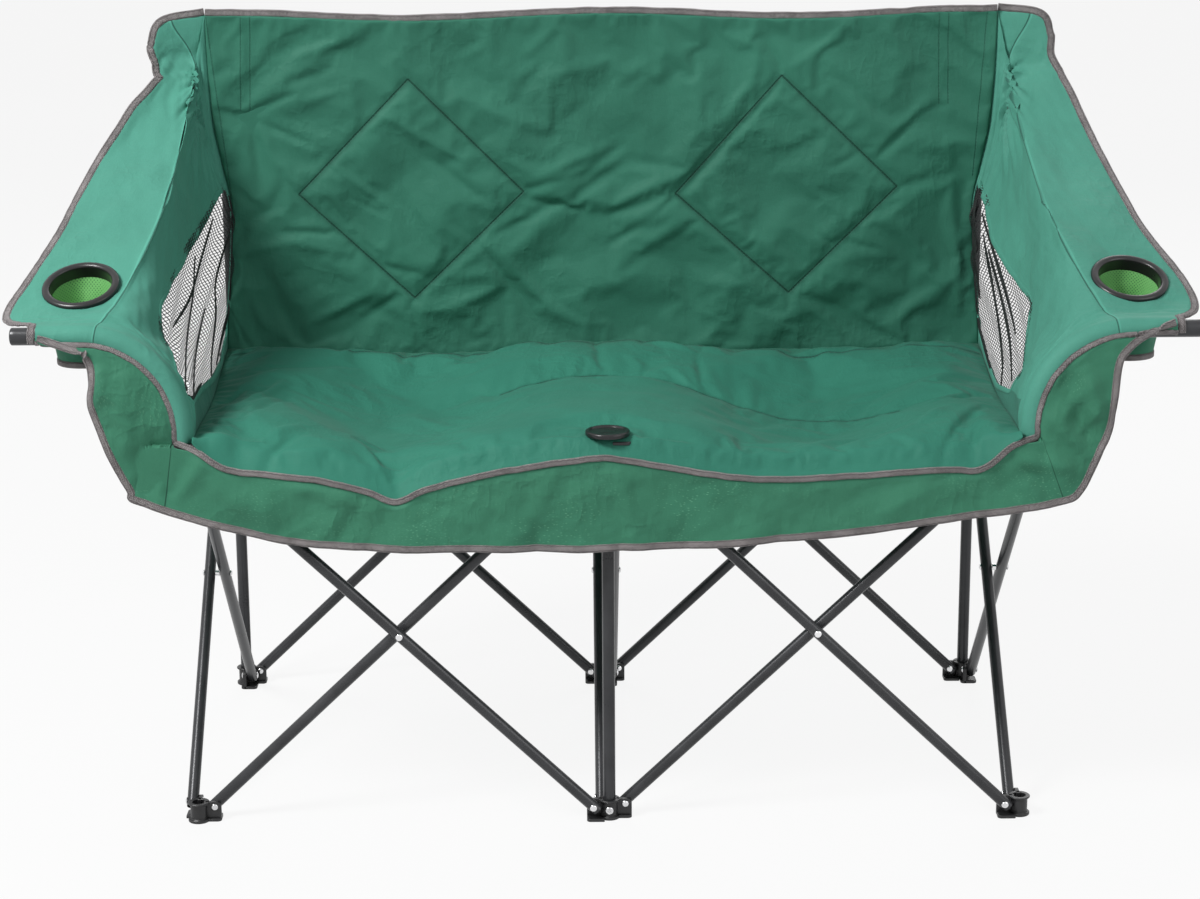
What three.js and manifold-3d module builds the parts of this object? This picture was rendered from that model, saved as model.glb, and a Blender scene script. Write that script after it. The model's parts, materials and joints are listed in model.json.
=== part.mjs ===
// Folding camping loveseat: six moulded feet and six moulded hubs, seven pairs of crossed tubes
// between them, three rear posts, a front prop, two bent arm tubes, and a sewn cover of seat, back,
// arms, mesh windows, cup holders and front skirt.
// Units are millimetres. X runs across the seat, Y from front to back and Z up. The origin lies on the
// floor, under the middle of the whole chair.
import * as THREE from 'three';
import { mergeVertices } from 'three/addons/utils/BufferGeometryUtils.js';
import Module from 'manifold-3d';

const wasm = await Module();
wasm.setup();

// Frame sizes
const bay = 530;                  // between neighbouring feet, across and from front to back
const footPinHeight = 19;         // rivets of the feet above the floor
const hubPinHeight = 486;         // rivets of the hubs above the floor, chair open
const pinReach = 20.5;            // from the middle of a foot or hub to its rivets
const gap = 0.3;                  // left between pieces that touch
const overrun = 1;                // by which a cutting tool passes the face that it cuts

// Tubes, posts and rivets
const tubeDia = 15;
const tubeWall = 1;
const tubeOverhang = 8;           // tube end beyond its rivet
const postDia = 16;
const postWall = 1.2;
const postTopRound = 2.5;
const postBelowEdge = 13;         // rear post's top below the back's upper edge
const rivetDia = 4;
const rivetHeadDia = 9;
const rivetHeadHeight = 1.8;
const crownShare = 0.6;           // flat top of a rivet's head, as a share of its width
const screwDia = 3.6;
const screwHeadDia = 11;
const screwHeadHeight = 2.4;

// Feet and hubs: one moulding, upright as a foot and upside down as a hub
const mouldHeight = 26;
const baseThickness = 4;
const lugThickness = 5;
const lugReach = 29;              // from the middle to the end of a lug
const lugCorner = 5;
const socketOuter = 22;
const socketInner = 16.8;
const flangeLip = 3;              // flange beyond the socket wall
const flangeThickness = 2.5;

// Arm tubes
const armTubeDia = 22;
const armTubeWall = 1.5;
const armMargin = 106;            // what an arm tube reaches out from its hub, beyond a cup ring's width
const armBendShare = 0.585;       // radius of the bend, as a share of the way out from the hub
const armRise = 16;               // straight stretch of the arm tube above its hub
const armPlug = 3;

// Cover
const clothThickness = 2;
const meshThickness = 1.2;
const padEdge = 5;                // thickness of the padded cloth at its seams
const padCrown = 7;               // what the seat's padding adds between the seams
const backCrown = 11;             // what the back's padding adds between the seams
const backTop = 983;              // top of the back panel at its posts, under its binding
const backTopSag = 9;             // by which that edge hangs between the posts
const bindingWidth = 10;
const bindingThickness = 3.4;
const pipingWidth = 6.3;
const skirtFold = 5;
const seatFront = 26;             // seat edge in front of the front feet's middle
const seatNose = 20.5;            // where the seat starts to droop, in front of the front feet
const seatLip = 22;               // droop of the front edge
const seatDip = 41;               // hollow of each place, at its front
const seatDipRear = 10;
const seatMiddleSag = 14;
const hubCover = 33;              // half width of the flat that lies on a hub
const seamSoftness = 26;          // how far from a sewn channel the padding recovers
const wrapEase = 0.5;             // slack of the cloth on the bent tube, for its straight stretches
const tubeShown = 31;             // bare end of each arm tube
const pocketLength = 118;
const pocketThickness = 1.5;
const cupRingOuter = 99;
const cupRingWall = 10;
const cupRingAbove = 7;
const cupRingBelow = 6;
const cupRingRound = 3;
const pouchInset = 3.5;           // of the pouch's rim from the ring's outer edge
const pouchTaperShare = 0.717;
const pouchDepth = 112;
const pouchThickness = 1.6;
const capDia = 56;
const capHeight = 6;
const capRecess = 2;
const capRim = 5;
const capStemDia = 10;

// Worked out from the sizes above
const tubeOffset = lugThickness / 2 + gap + tubeDia / 2;
const hubTop = hubPinHeight + footPinHeight;
const span = bay - 2 * pinReach;
const rise = hubPinHeight - footPinHeight;
const tubeLength = Math.hypot(span, rise);
const rivetSides = 6;
const screwSides = 8;
const roundSides = 16;            // of the cup rings and the cap
const hexagonShare = Math.cos(Math.PI / rivetSides);
const rivetHole = (rivetDia + 2 * gap) / hexagonShare;
const screwHoleDia = (screwDia + 2 * gap) / hexagonShare;
const armOut = cupRingOuter + armMargin;
const armReach = bay + armOut;
const armBend = armBendShare * armOut;
const armBarRise = armRise + armBend;
const armBarHeight = hubTop + armBarRise;
const cupRingInner = cupRingOuter - 2 * cupRingWall;
const pouchTopDia = cupRingOuter - 2 * pouchInset;
const pouchBottomDia = pouchTaperShare * pouchTopDia;
const backRise = backTop - hubTop;
const rearPostTop = backTop - postBelowEdge;
const wrapTurn = 0.3;             // share of a full turn by which the cloth wraps an arm tube
const wrapRows = 3;
const wrapCorner = Math.cos(Math.PI * wrapTurn / wrapRows);
const coverRadius = (armTubeDia / 2 + gap) / wrapCorner + clothThickness / 2 + wrapEase;

// Colours and finishes
const finishes = {
  moulding: { color: 0x161617, roughness: 0.55, metalness: 0 },
  tube: { color: 0x35363a, roughness: 0.35, metalness: 0.6 },
  rivet: { color: 0xc8c8c8, roughness: 0.2, metalness: 1 },
  cloth: { color: 0x3f8a6e, roughness: 0.85, metalness: 0 },
  skirt: { color: 0x3d8562, roughness: 0.85, metalness: 0 },
  binding: { color: 0x736c6c, roughness: 0.9, metalness: 0 },
  mesh: { color: 0x8c8f8e, roughness: 0.8, metalness: 0 },
  pouch: { color: 0x3c9a3c, roughness: 0.8, metalness: 0 },
  plastic: { color: 0x1d1d1f, roughness: 0.4, metalness: 0 },
};

const chair = new THREE.Group();

function addMesh(name, geometry, finish) {
  const mesh = new THREE.Mesh(geometry, new THREE.MeshStandardMaterial(finishes[finish]));
  mesh.name = name;
  chair.add(mesh);
  return mesh;
}

// Joins and cuts of closed meshes
function toSolid(geometry) {
  const bare = geometry.clone();
  bare.deleteAttribute('normal');
  bare.deleteAttribute('uv');
  const welded = mergeVertices(bare);
  const vertProperties = new Float32Array(welded.attributes.position.array);
  const triVerts = new Uint32Array(welded.index.array);
  return new wasm.Manifold(new wasm.Mesh({ numProp: 3, vertProperties, triVerts }));
}

function toGeometry(solid) {
  const mesh = solid.getMesh();
  const geometry = new THREE.BufferGeometry();
  geometry.setAttribute('position', new THREE.BufferAttribute(mesh.vertProperties.slice(), 3));
  geometry.setIndex(new THREE.BufferAttribute(mesh.triVerts.slice(), 1));
  geometry.computeVertexNormals();
  return geometry;
}

function joined(first, ...others) {
  return others.reduce((sum, next) => sum.add(next), first);
}

// Turns a closed mesh's faces outward
function outward(geometry) {
  const points = geometry.attributes.position;
  const index = geometry.index.array;
  const corner = [new THREE.Vector3(), new THREE.Vector3(), new THREE.Vector3()];
  let volume = 0;
  for (let i = 0; i < index.length; i += 3) {
    corner.forEach((point, k) => point.fromBufferAttribute(points, index[i + k]));
    volume += corner[0].dot(corner[1].clone().cross(corner[2]));
  }
  if (volume < 0) index.reverse();
  geometry.computeVertexNormals();
  return geometry;
}

// A round piece turned from a profile of radius and height pairs, standing along Z
function turned(profile, sides = 12) {
  const points = profile.map(([radius, height]) => new THREE.Vector2(radius, height));
  const geometry = new THREE.LatheGeometry(points, sides).rotateX(Math.PI / 2);
  geometry.deleteAttribute('normal');
  geometry.deleteAttribute('uv');
  return outward(mergeVertices(geometry));
}

// An upright cylinder between two heights
function cylinder(diameter, from, to, sides = 12) {
  const geometry = new THREE.CylinderGeometry(diameter / 2, diameter / 2, to - from, sides);
  geometry.rotateX(Math.PI / 2);
  geometry.translate(0, 0, (from + to) / 2);
  return geometry;
}

// A lug is an upright plate along X with one rounded top corner. The tube lies on its +Y side.
function lugPlate() {
  const outline = new THREE.Shape();
  outline.moveTo(0, 0);
  outline.lineTo(lugReach, 0);
  outline.lineTo(lugReach, mouldHeight - lugCorner);
  outline.absarc(lugReach - lugCorner, mouldHeight - lugCorner, lugCorner, 0, Math.PI / 2);
  outline.lineTo(0, mouldHeight);
  const geometry = new THREE.ExtrudeGeometry(outline, {
    depth: lugThickness, bevelEnabled: false, curveSegments: 2,
  });
  geometry.rotateX(Math.PI / 2);
  geometry.translate(0, lugThickness / 2, 0);
  return geometry;
}

// The sole under a lug reaches out below its tube, with rounded corners
function lugSole() {
  const inner = -lugThickness / 2 - flangeLip;
  const outer = tubeOffset + tubeDia / 2;
  const outline = new THREE.Shape();
  outline.moveTo(0, inner);
  outline.lineTo(lugReach - lugCorner, inner);
  outline.absarc(lugReach - lugCorner, inner + lugCorner, lugCorner, -Math.PI / 2, 0);
  outline.lineTo(lugReach, outer - lugCorner);
  outline.absarc(lugReach - lugCorner, outer - lugCorner, lugCorner, 0, Math.PI / 2);
  outline.lineTo(0, outer);
  return new THREE.ExtrudeGeometry(outline, {
    depth: baseThickness, bevelEnabled: false, curveSegments: 2,
  });
}

// A foot stands at its own middle with its sole at zero height. Lug directions are in quarter turns
// from +X. A through socket is open at the sole, as the sliding hubs and the arm hubs are.
function moulding(lugTurns, screwTurn, through) {
  const flangeDia = socketOuter + 2 * flangeLip;
  let solid = joined(
    toSolid(cylinder(socketOuter, 0, mouldHeight)),
    toSolid(cylinder(flangeDia, 0, baseThickness)),
    toSolid(cylinder(flangeDia, mouldHeight - flangeThickness, mouldHeight)),
  );
  const holes = [];
  for (const turn of lugTurns) {
    const angle = turn * Math.PI / 2;
    solid = joined(
      solid,
      toSolid(lugPlate().rotateZ(angle)),
      toSolid(lugSole().rotateZ(angle)),
    );
    const hole = cylinder(rivetHole, -lugThickness, lugThickness, rivetSides);
    hole.rotateX(Math.PI / 2);
    hole.translate(pinReach, 0, footPinHeight);
    holes.push(toSolid(hole.rotateZ(angle)));
  }
  const floor = through ? -overrun : baseThickness;
  holes.push(toSolid(cylinder(socketInner, floor, mouldHeight + overrun)));
  if (screwTurn !== null) {
    const screwHole = cylinder(screwHoleDia, 0, socketOuter, rivetSides);
    screwHole.rotateY(Math.PI / 2);
    screwHole.translate(0, 0, mouldHeight / 2);
    holes.push(toSolid(screwHole.rotateZ(screwTurn * Math.PI / 2)));
  }
  for (const hole of holes) solid = solid.subtract(hole);
  return toGeometry(solid);
}

// The six stands. Quarter turns: 0 is +X, 1 is +Y, 2 is -X and 3 is -Y.
const stands = [
  { name: 'front_left', x: -bay, y: 0, turns: [0, 1], outward: 3 },
  { name: 'front_centre', x: 0, y: 0, turns: [2, 0, 1], outward: 3 },
  { name: 'front_right', x: bay, y: 0, turns: [2, 1], outward: 3 },
  { name: 'rear_left', x: -bay, y: bay, turns: [0, 3], outward: 1 },
  { name: 'rear_centre', x: 0, y: bay, turns: [2, 0, 3], outward: 1 },
  { name: 'rear_right', x: bay, y: bay, turns: [2, 3], outward: 1 },
];

for (const stand of stands) {
  const foot = addMesh(`foot_${stand.name}`, moulding(stand.turns, stand.outward, false), 'moulding');
  foot.position.set(stand.x, stand.y, 0);
  // Turned over about X, a lug along +Y comes to point along -Y, so the turns are set the other way.
  const flipped = stand.turns.map((turn) => (4 - turn) % 4);
  const open = stand.name !== 'front_centre';
  const hub = addMesh(`hub_${stand.name}`, moulding(flipped, null, open), 'moulding');
  hub.rotation.x = Math.PI;
  hub.position.set(stand.x, stand.y, hubTop);
}

// A rivet lies along Z from one head's underside at zero to the other's at the given length
function rivet(length) {
  const shank = rivetDia / 2;
  const head = rivetHeadDia / 2;
  const crown = rivetHeadHeight;
  const profile = [
    [0, -crown], [head * crownShare, -crown], [head, 0], [shank, 0],
    [shank, length], [head, length], [0, length + crown],
  ];
  return turned(profile, rivetSides).rotateZ(Math.PI / 2);
}

// A cross tube lies along X, middle at zero, with an open bore, a hole through its middle for the
// pivot and a rivet through each end. The rivets run along Y, from a head on the tube's far side
// through the lug of the foot or hub.
function crossTube() {
  const length = tubeLength + 2 * tubeOverhang;
  const ring = new THREE.Shape().absarc(0, 0, tubeDia / 2, 0, 2 * Math.PI);
  ring.holes.push(new THREE.Path().absarc(0, 0, tubeDia / 2 - tubeWall, 0, 2 * Math.PI, true));
  const bar = new THREE.ExtrudeGeometry(ring, { depth: length, bevelEnabled: false, curveSegments: 5 });
  bar.rotateY(Math.PI / 2);
  bar.translate(-length / 2, 0, 0);
  const hole = cylinder(rivetHole, -tubeDia, tubeDia, rivetSides);
  hole.rotateZ(Math.PI / 2).rotateX(Math.PI / 2);
  let solid = toSolid(bar).subtract(toSolid(hole));
  for (const end of [-1, 1]) {
    const grip = tubeDia + gap + lugThickness + gap;
    const pin = rivet(grip);
    pin.rotateX(Math.PI / 2);
    pin.translate(end * tubeLength / 2, tubeDia / 2, 0);
    solid = solid.add(toSolid(pin));
  }
  return toGeometry(solid);
}

// The middle pivot: a rivet with a spacer between the two tubes, its heads just off the tubes
function pivotPin() {
  const grip = 2 * (tubeOffset + tubeDia / 2 + gap);
  const pin = rivet(grip).translate(0, 0, -grip / 2);
  const half = tubeOffset - tubeDia / 2 - gap;
  const spacer = cylinder(rivetHeadDia, -half, half, rivetSides);
  return toGeometry(joined(toSolid(pin), toSolid(spacer))).rotateX(Math.PI / 2);
}

const tubeShape = crossTube();
const pivotShape = pivotPin();
const tilt = Math.atan2(rise, span);
const pivotHeight = (footPinHeight + hubPinHeight) / 2;

// Each bay has one tube rising along the bay's direction and one falling. Looking along the bay from
// its start, the rising tube is on the left of the lugs and the falling one is on the right.
const bays = [
  { name: 'front_left', from: stands[0], to: stands[1], turn: 0 },
  { name: 'front_right', from: stands[1], to: stands[2], turn: 0 },
  { name: 'rear_left', from: stands[3], to: stands[4], turn: 0 },
  { name: 'rear_right', from: stands[4], to: stands[5], turn: 0 },
  { name: 'side_left', from: stands[0], to: stands[3], turn: 1 },
  { name: 'side_centre', from: stands[1], to: stands[4], turn: 1 },
  { name: 'side_right', from: stands[2], to: stands[5], turn: 1 },
];

for (const place of bays) {
  const frame = new THREE.Group();
  frame.position.set((place.from.x + place.to.x) / 2, (place.from.y + place.to.y) / 2, pivotHeight);
  frame.rotation.z = place.turn * Math.PI / 2;
  chair.add(frame);
  const rising = addMesh(`tube_${place.name}_rising`, tubeShape, 'tube');
  rising.rotation.y = -tilt;
  rising.position.y = tubeOffset;
  const falling = addMesh(`tube_${place.name}_falling`, tubeShape, 'tube');
  falling.rotation.set(Math.PI, tilt, 0, 'YXZ');
  falling.position.y = -tubeOffset;
  frame.add(rising, falling, addMesh(`pivot_${place.name}`, pivotShape, 'rivet'));
}

// A post is a tube with a closed, rounded top and the screw that holds it in its foot
function post(top, screwTurn) {
  const outer = postDia / 2;
  const inner = outer - postWall;
  const bottom = baseThickness + gap;
  const tube = turned([
    [0, top], [outer - postTopRound, top], [outer, top - postTopRound], [outer, bottom],
    [inner, bottom], [inner, top - postTopRound], [0, top - postTopRound],
  ]);
  const face = socketOuter / 2 + gap;
  const screw = turned([
    [0, inner - postWall], [screwDia / 2, inner - postWall], [screwDia / 2, face],
    [screwHeadDia / 2, face], [screwHeadDia / 2 - screwHeadHeight / 2, face + screwHeadHeight],
    [0, face + screwHeadHeight],
  ], screwSides);
  screw.rotateY(Math.PI / 2).rotateZ(screwTurn * Math.PI / 2).translate(0, 0, mouldHeight / 2);
  return toGeometry(toSolid(tube).add(toSolid(screw)));
}

const propTop = hubTop - baseThickness - gap;
for (const stand of stands) {
  if (stand.name === 'front_left' || stand.name === 'front_right') continue;
  const front = stand.name === 'front_centre';
  const piece = addMesh(
    front ? 'prop_front_centre' : `post_${stand.name}`,
    post(front ? propTop : rearPostTop, stand.outward),
    'tube',
  );
  piece.position.set(stand.x, stand.y, 0);
}

// A sewn pocket hangs on the top of each rear post
const pocketInner = postDia / 2 + gap;
const pocketOuter = pocketInner + pocketThickness;
const pocketTop = rearPostTop + gap + pocketThickness;
for (const stand of stands.slice(3)) {
  const pocket = addMesh(`pocket_${stand.name}`, turned([
    [0, pocketTop], [pocketOuter - pocketThickness, pocketTop],
    [pocketOuter, pocketTop - pocketThickness], [pocketOuter, pocketTop - pocketLength],
    [pocketInner, pocketTop - pocketLength], [pocketInner, rearPostTop + gap],
    [0, rearPostTop + gap],
  ]), 'cloth');
  pocket.position.set(stand.x, stand.y, 0);
}

// The arm tube's middle line on one side: up from its hub, round the bend and out to its tip.
// It is followed by length, from the hub.
const bendLength = armBend * Math.PI / 2;
const armBarLength = armOut - armBend;
const armLength = armRise + bendLength + armBarLength;

function armLine(side, length) {
  const angle = THREE.MathUtils.clamp((length - armRise) / armBend, 0, Math.PI / 2);
  const up = Math.min(length, armRise) + armBend * Math.sin(angle);
  const out = armBend * (1 - Math.cos(angle)) + Math.max(0, length - armRise - bendLength);
  return {
    middle: new THREE.Vector3(side * (bay + out), 0, hubTop + up),
    normal: new THREE.Vector3(-side * Math.cos(angle), 0, Math.sin(angle)),
    ahead: new THREE.Vector3(side * Math.sin(angle), 0, Math.cos(angle)),
  };
}

class ArmCurve extends THREE.Curve {
  constructor(side, from) {
    super();
    this.side = side;
    this.from = from;
  }

  getPoint(share) {
    return armLine(this.side, this.from + (armLength - this.from) * share).middle;
  }
}

// A bent tube with a plug in its tip and a narrower neck that stands in the hub
function armTube(side) {
  const outer = armTubeDia / 2;
  const inner = outer - armTubeWall;
  const ring = new THREE.Shape().absarc(0, 0, outer, 0, 2 * Math.PI);
  ring.holes.push(new THREE.Path().absarc(0, 0, inner, 0, 2 * Math.PI, true));
  const start = gap + armTubeWall / 2;
  const tube = new THREE.ExtrudeGeometry(ring, {
    steps: 10, curveSegments: 6, bevelEnabled: false, extrudePath: new ArmCurve(side, start),
  });
  const plug = cylinder(armTubeDia, -armPlug / 2, armPlug / 2).rotateY(Math.PI / 2);
  plug.translate(side * (armReach - armPlug / 2), 0, armBarHeight);
  const neck = turned([
    [postDia / 2 - armTubeWall, -mouldHeight], [postDia / 2, -mouldHeight], [postDia / 2, gap],
    [outer, gap], [outer, gap + armTubeWall], [postDia / 2 - armTubeWall, gap + armTubeWall],
    [postDia / 2 - armTubeWall, -mouldHeight],
  ]);
  neck.translate(side * bay, 0, hubTop);
  return toGeometry(joined(toSolid(tube), toSolid(plug), toSolid(neck)));
}

// A closed sheet on a grid of points. The thickness may change over it, and cells may be left out.
function sheet(pointAt, columns, rows, thicknessAt, present = () => true) {
  const grid = [];
  for (let i = 0; i <= columns; i++) {
    grid.push([]);
    for (let j = 0; j <= rows; j++) grid[i].push(pointAt(i / columns, j / rows));
  }
  const positions = [];
  for (let i = 0; i <= columns; i++) {
    for (let j = 0; j <= rows; j++) {
      const across = grid[Math.min(i + 1, columns)][j].clone().sub(grid[Math.max(i - 1, 0)][j]);
      const along = grid[i][Math.min(j + 1, rows)].clone().sub(grid[i][Math.max(j - 1, 0)]);
      const half = across.cross(along).setLength(thicknessAt(i / columns, j / rows) / 2);
      positions.push(...grid[i][j].clone().add(half), ...grid[i][j].clone().sub(half));
    }
  }
  const vertex = (i, j, below) => 2 * (i * (rows + 1) + j) + below;
  const kept = (i, j) => (
    i >= 0 && j >= 0 && i < columns && j < rows && present((i + 0.5) / columns, (j + 0.5) / rows)
  );
  const faces = [];
  for (let i = 0; i < columns; i++) {
    for (let j = 0; j < rows; j++) {
      if (!kept(i, j)) continue;
      const loop = [[i, j], [i + 1, j], [i + 1, j + 1], [i, j + 1]];
      const over = loop.map(([a, b]) => vertex(a, b, 0));
      const under = loop.map(([a, b]) => vertex(a, b, 1));
      faces.push(over[0], over[1], over[2], over[0], over[2], over[3]);
      faces.push(under[0], under[2], under[1], under[0], under[3], under[2]);
      const beside = [[i, j - 1], [i + 1, j], [i, j + 1], [i - 1, j]];
      beside.forEach(([a, b], k) => {
        if (kept(a, b)) return;
        const next = (k + 1) % 4;
        faces.push(over[next], over[k], under[k], over[next], under[k], under[next]);
      });
    }
  }
  const geometry = new THREE.BufferGeometry();
  geometry.setAttribute('position', new THREE.Float32BufferAttribute(positions, 3));
  geometry.setIndex(faces);
  // Without its index and merged again, it keeps no point that no face uses
  return outward(mergeVertices(geometry.toNonIndexed()));
}

// A flat tape along an edge. Each frame has a point on the edge, a direction away from the piece that
// the tape borders, and the piece's own normal.
function tape(frames, width, thickness) {
  const positions = [];
  for (const { edge, away, normal } of frames) {
    const near = edge.clone().addScaledVector(away, 2 * gap);
    const far = near.clone().addScaledVector(away, width);
    const lift = normal.clone().multiplyScalar(thickness / 2);
    for (const point of [near, far]) positions.push(...point.clone().add(lift));
    for (const point of [far, near]) positions.push(...point.clone().sub(lift));
  }
  const faces = [0, 1, 2, 0, 2, 3];
  const last = 4 * (frames.length - 1);
  for (let i = 0; i < last; i += 4) {
    for (let k = 0; k < 4; k++) {
      const next = (k + 1) % 4;
      faces.push(i + k, i + 4 + k, i + 4 + next, i + k, i + 4 + next, i + next);
    }
  }
  faces.push(last, last + 2, last + 1, last, last + 3, last + 2);
  const geometry = new THREE.BufferGeometry();
  geometry.setAttribute('position', new THREE.Float32BufferAttribute(positions, 3));
  geometry.setIndex(faces);
  return outward(geometry);
}

// Straight stretches between the knots of a table whose rows start with their place
function between(table, place) {
  const after = table.findIndex((row) => row[0] >= place);
  if (after <= 0) return table[Math.max(after, 0)].slice(1);
  const [low, high] = [table[after - 1], table[after]];
  const share = (place - low[0]) / (high[0] - low[0]);
  return low.slice(1).map((value, i) => value + (high[i + 1] - value) * share);
}

const sineSquared = (share) => Math.sin(Math.PI * THREE.MathUtils.clamp(share, 0, 1)) ** 2;

// The back panel stands just in front of the post pockets. Its half width is given at ten even heights.
const backRear = bay - pocketOuter - gap;
const seamHalfShares = [1.013, 1.0065, 0.9965, 0.989, 0.9855, 1.004, 1.023, 1.031, 1.035, 1.0365];
const seamRows = seamHalfShares.length - 1;
const seamFoot = hubTop + gap;

function backHalf(heightShare) {
  return bay * between(seamHalfShares.map((value, i) => [i / seamRows, value]), heightShare)[0];
}

// The lower edge of each arm panel runs beside the seat, from inside the arm tube to the back's foot
const sideFrontX = bay - coverRadius;
const sideRearX = backHalf(0) + gap + clothThickness / 2;
const seamY = backRear - padEdge / 2;
const sideX = (y) => sideFrontX + (sideRearX - sideFrontX) * y / seamY;

// Where the arm panel runs, as shares of the space outside, behind and above a hub: how far across
// the panel, then outward, back and up. Behind the arm tube, up is a share of the tube's own rise.
const creaseShare = 0.3;
const behindBarShares = [[0, 1.03, 0.07, 1.118], [0.3, 0.424, 0.06, 1.153]];
const middleShares = [
  [0, 0.81, 0.438, 0.508], [0.3, 0.229, 0.438, 0.525], [0.5, 0.175, 0.453, 0.387],
  [0.75, 0.078, 0.464, 0.178], [1, 0, 0.47, 0],
];
const notchShares = [[0, 0.41, 0.925, 0.824], [0.15, 0.29, 0.942, 0.818], [0.3, 0.18, 0.951, 0.812]];
const wingShares = [[0, 0.439, 0.943, 0.92], [0.15, 0.371, 0.953, 0.983], [0.3, 0.11, 0.974, 1]];
const gatherDropShare = 0.19;
const gatherOutShare = 0.09;
const gatherAlongShare = 0.045;
const gatherEndShare = 0.8;

function armStation(side, table, across, height = backRise) {
  const [out, along, up] = between(table, across);
  const y = along * bay;
  if (across === 1) return new THREE.Vector3(side * sideX(y), y, seamFoot);
  return new THREE.Vector3(side * (bay + out * armOut), y, hubTop + up * height);
}

// The seam beside the back, and the gathered line a little in front of it
function armSeam(side, across) {
  const heightShare = (1 - across) / (1 - creaseShare);
  const z = seamFoot + (backTop - seamFoot) * heightShare;
  const x = backHalf(heightShare) + 1.5 * gap + clothThickness / 2;
  return new THREE.Vector3(side * x, seamY, z);
}

function armGather(side, across) {
  const seam = armSeam(side, across);
  const left = Math.max(0, (gatherEndShare - across) / (gatherEndShare - creaseShare));
  seam.x += side * gatherOutShare * armOut * left;
  seam.y -= gatherAlongShare * bay;
  seam.z -= gatherDropShare * backRise * left;
  if (across === 1) seam.x = side * sideX(seam.y);
  return seam;
}

// How far along the arm tube each column of the arm panel starts
const creaseBendShare = 0.9;

function armStart(across) {
  const crease = armRise + bendLength * creaseBendShare;
  const tip = armLength - tubeShown;
  if (across <= creaseShare) return tip + (crease - tip) * across / creaseShare;
  return crease + (gap - crease) * (across - creaseShare) / (1 - creaseShare);
}

// The wrap round an arm tube, by its turn from the tube's upper side toward its front and below
function armWrap(side, across, turn) {
  const { middle, normal } = armLine(side, armStart(across));
  const angle = turn * 2 * Math.PI;
  const forward = new THREE.Vector3(0, -1, 0);
  const point = middle.addScaledVector(normal, coverRadius * Math.cos(angle));
  point.addScaledVector(forward, coverRadius * Math.sin(angle));
  const away = normal.multiplyScalar(-Math.sin(angle)).addScaledVector(forward, Math.cos(angle));
  return { point, away };
}

// The arm panel: it wraps the arm tube from below its front, up over it, and runs back to the wing.
// Its rows are the wrap, the strip behind the tube, and stretches up to the middle, the gathers and
// the seam.
const armColumns = 11;
const armTopColumns = 2;
const armRowCounts = [wrapRows, 1, 4, 5, 2];
const armRows = armRowCounts.reduce((sum, count) => sum + count, 0);
const windowColumns = [4, 9];
const windowRows = [5, 13];

const acrossAt = (u) => {
  const column = u * armColumns;
  if (column <= armTopColumns) return creaseShare * column / armTopColumns;
  return creaseShare + (1 - creaseShare) * (column - armTopColumns) / (armColumns - armTopColumns);
};

function armPoint(side, u, v) {
  const across = acrossAt(u);
  let row = v * armRows;
  if (row < wrapRows) return armWrap(side, across, wrapTurn * (1 - row / wrapRows)).point;
  const top = armWrap(side, across, 0).point;
  const onTop = across <= creaseShare;
  const behind = onTop
    ? armStation(side, behindBarShares, across, armBarRise)
    : top.clone().add(new THREE.Vector3(0, armTubeDia, 0));
  if (across === 1) behind.x = side * sideX(behind.y);
  const stops = [
    top, behind, armStation(side, middleShares, across),
    onTop ? armStation(side, notchShares, across) : armGather(side, across),
    onTop ? armStation(side, wingShares, across) : armSeam(side, across),
  ];
  row -= wrapRows;
  let stretch = 1;
  while (stretch < stops.length - 1 && row > armRowCounts[stretch]) row -= armRowCounts[stretch++];
  const route = new THREE.CatmullRomCurve3(stops, false, 'centripetal');
  return route.getPoint((stretch - 1 + row / armRowCounts[stretch]) / (stops.length - 1));
}

function inWindow(u, v) {
  const column = u * armColumns;
  const row = v * armRows;
  return column > windowColumns[0] && column < windowColumns[1]
    && row > windowRows[0] && row < windowRows[1];
}

// A place on the arm panel with the panel's directions there, taken over a small share of its width
// and length
function armPlace(side, u, v) {
  const step = 0.01;
  const point = armPoint(side, u, v);
  const across = armPoint(side, Math.min(u + step, 1), v).sub(armPoint(side, Math.max(u - step, 0), v));
  const along = armPoint(side, u, Math.min(v + step, 1)).sub(armPoint(side, u, Math.max(v - step, 0)));
  const normal = across.clone().cross(along).normalize();
  if (normal.z < 0) normal.negate();
  return { point, across: across.normalize(), along: along.normalize(), normal };
}

const cupPlaceShares = [1.12 / armColumns, 5.45 / armRows];

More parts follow.
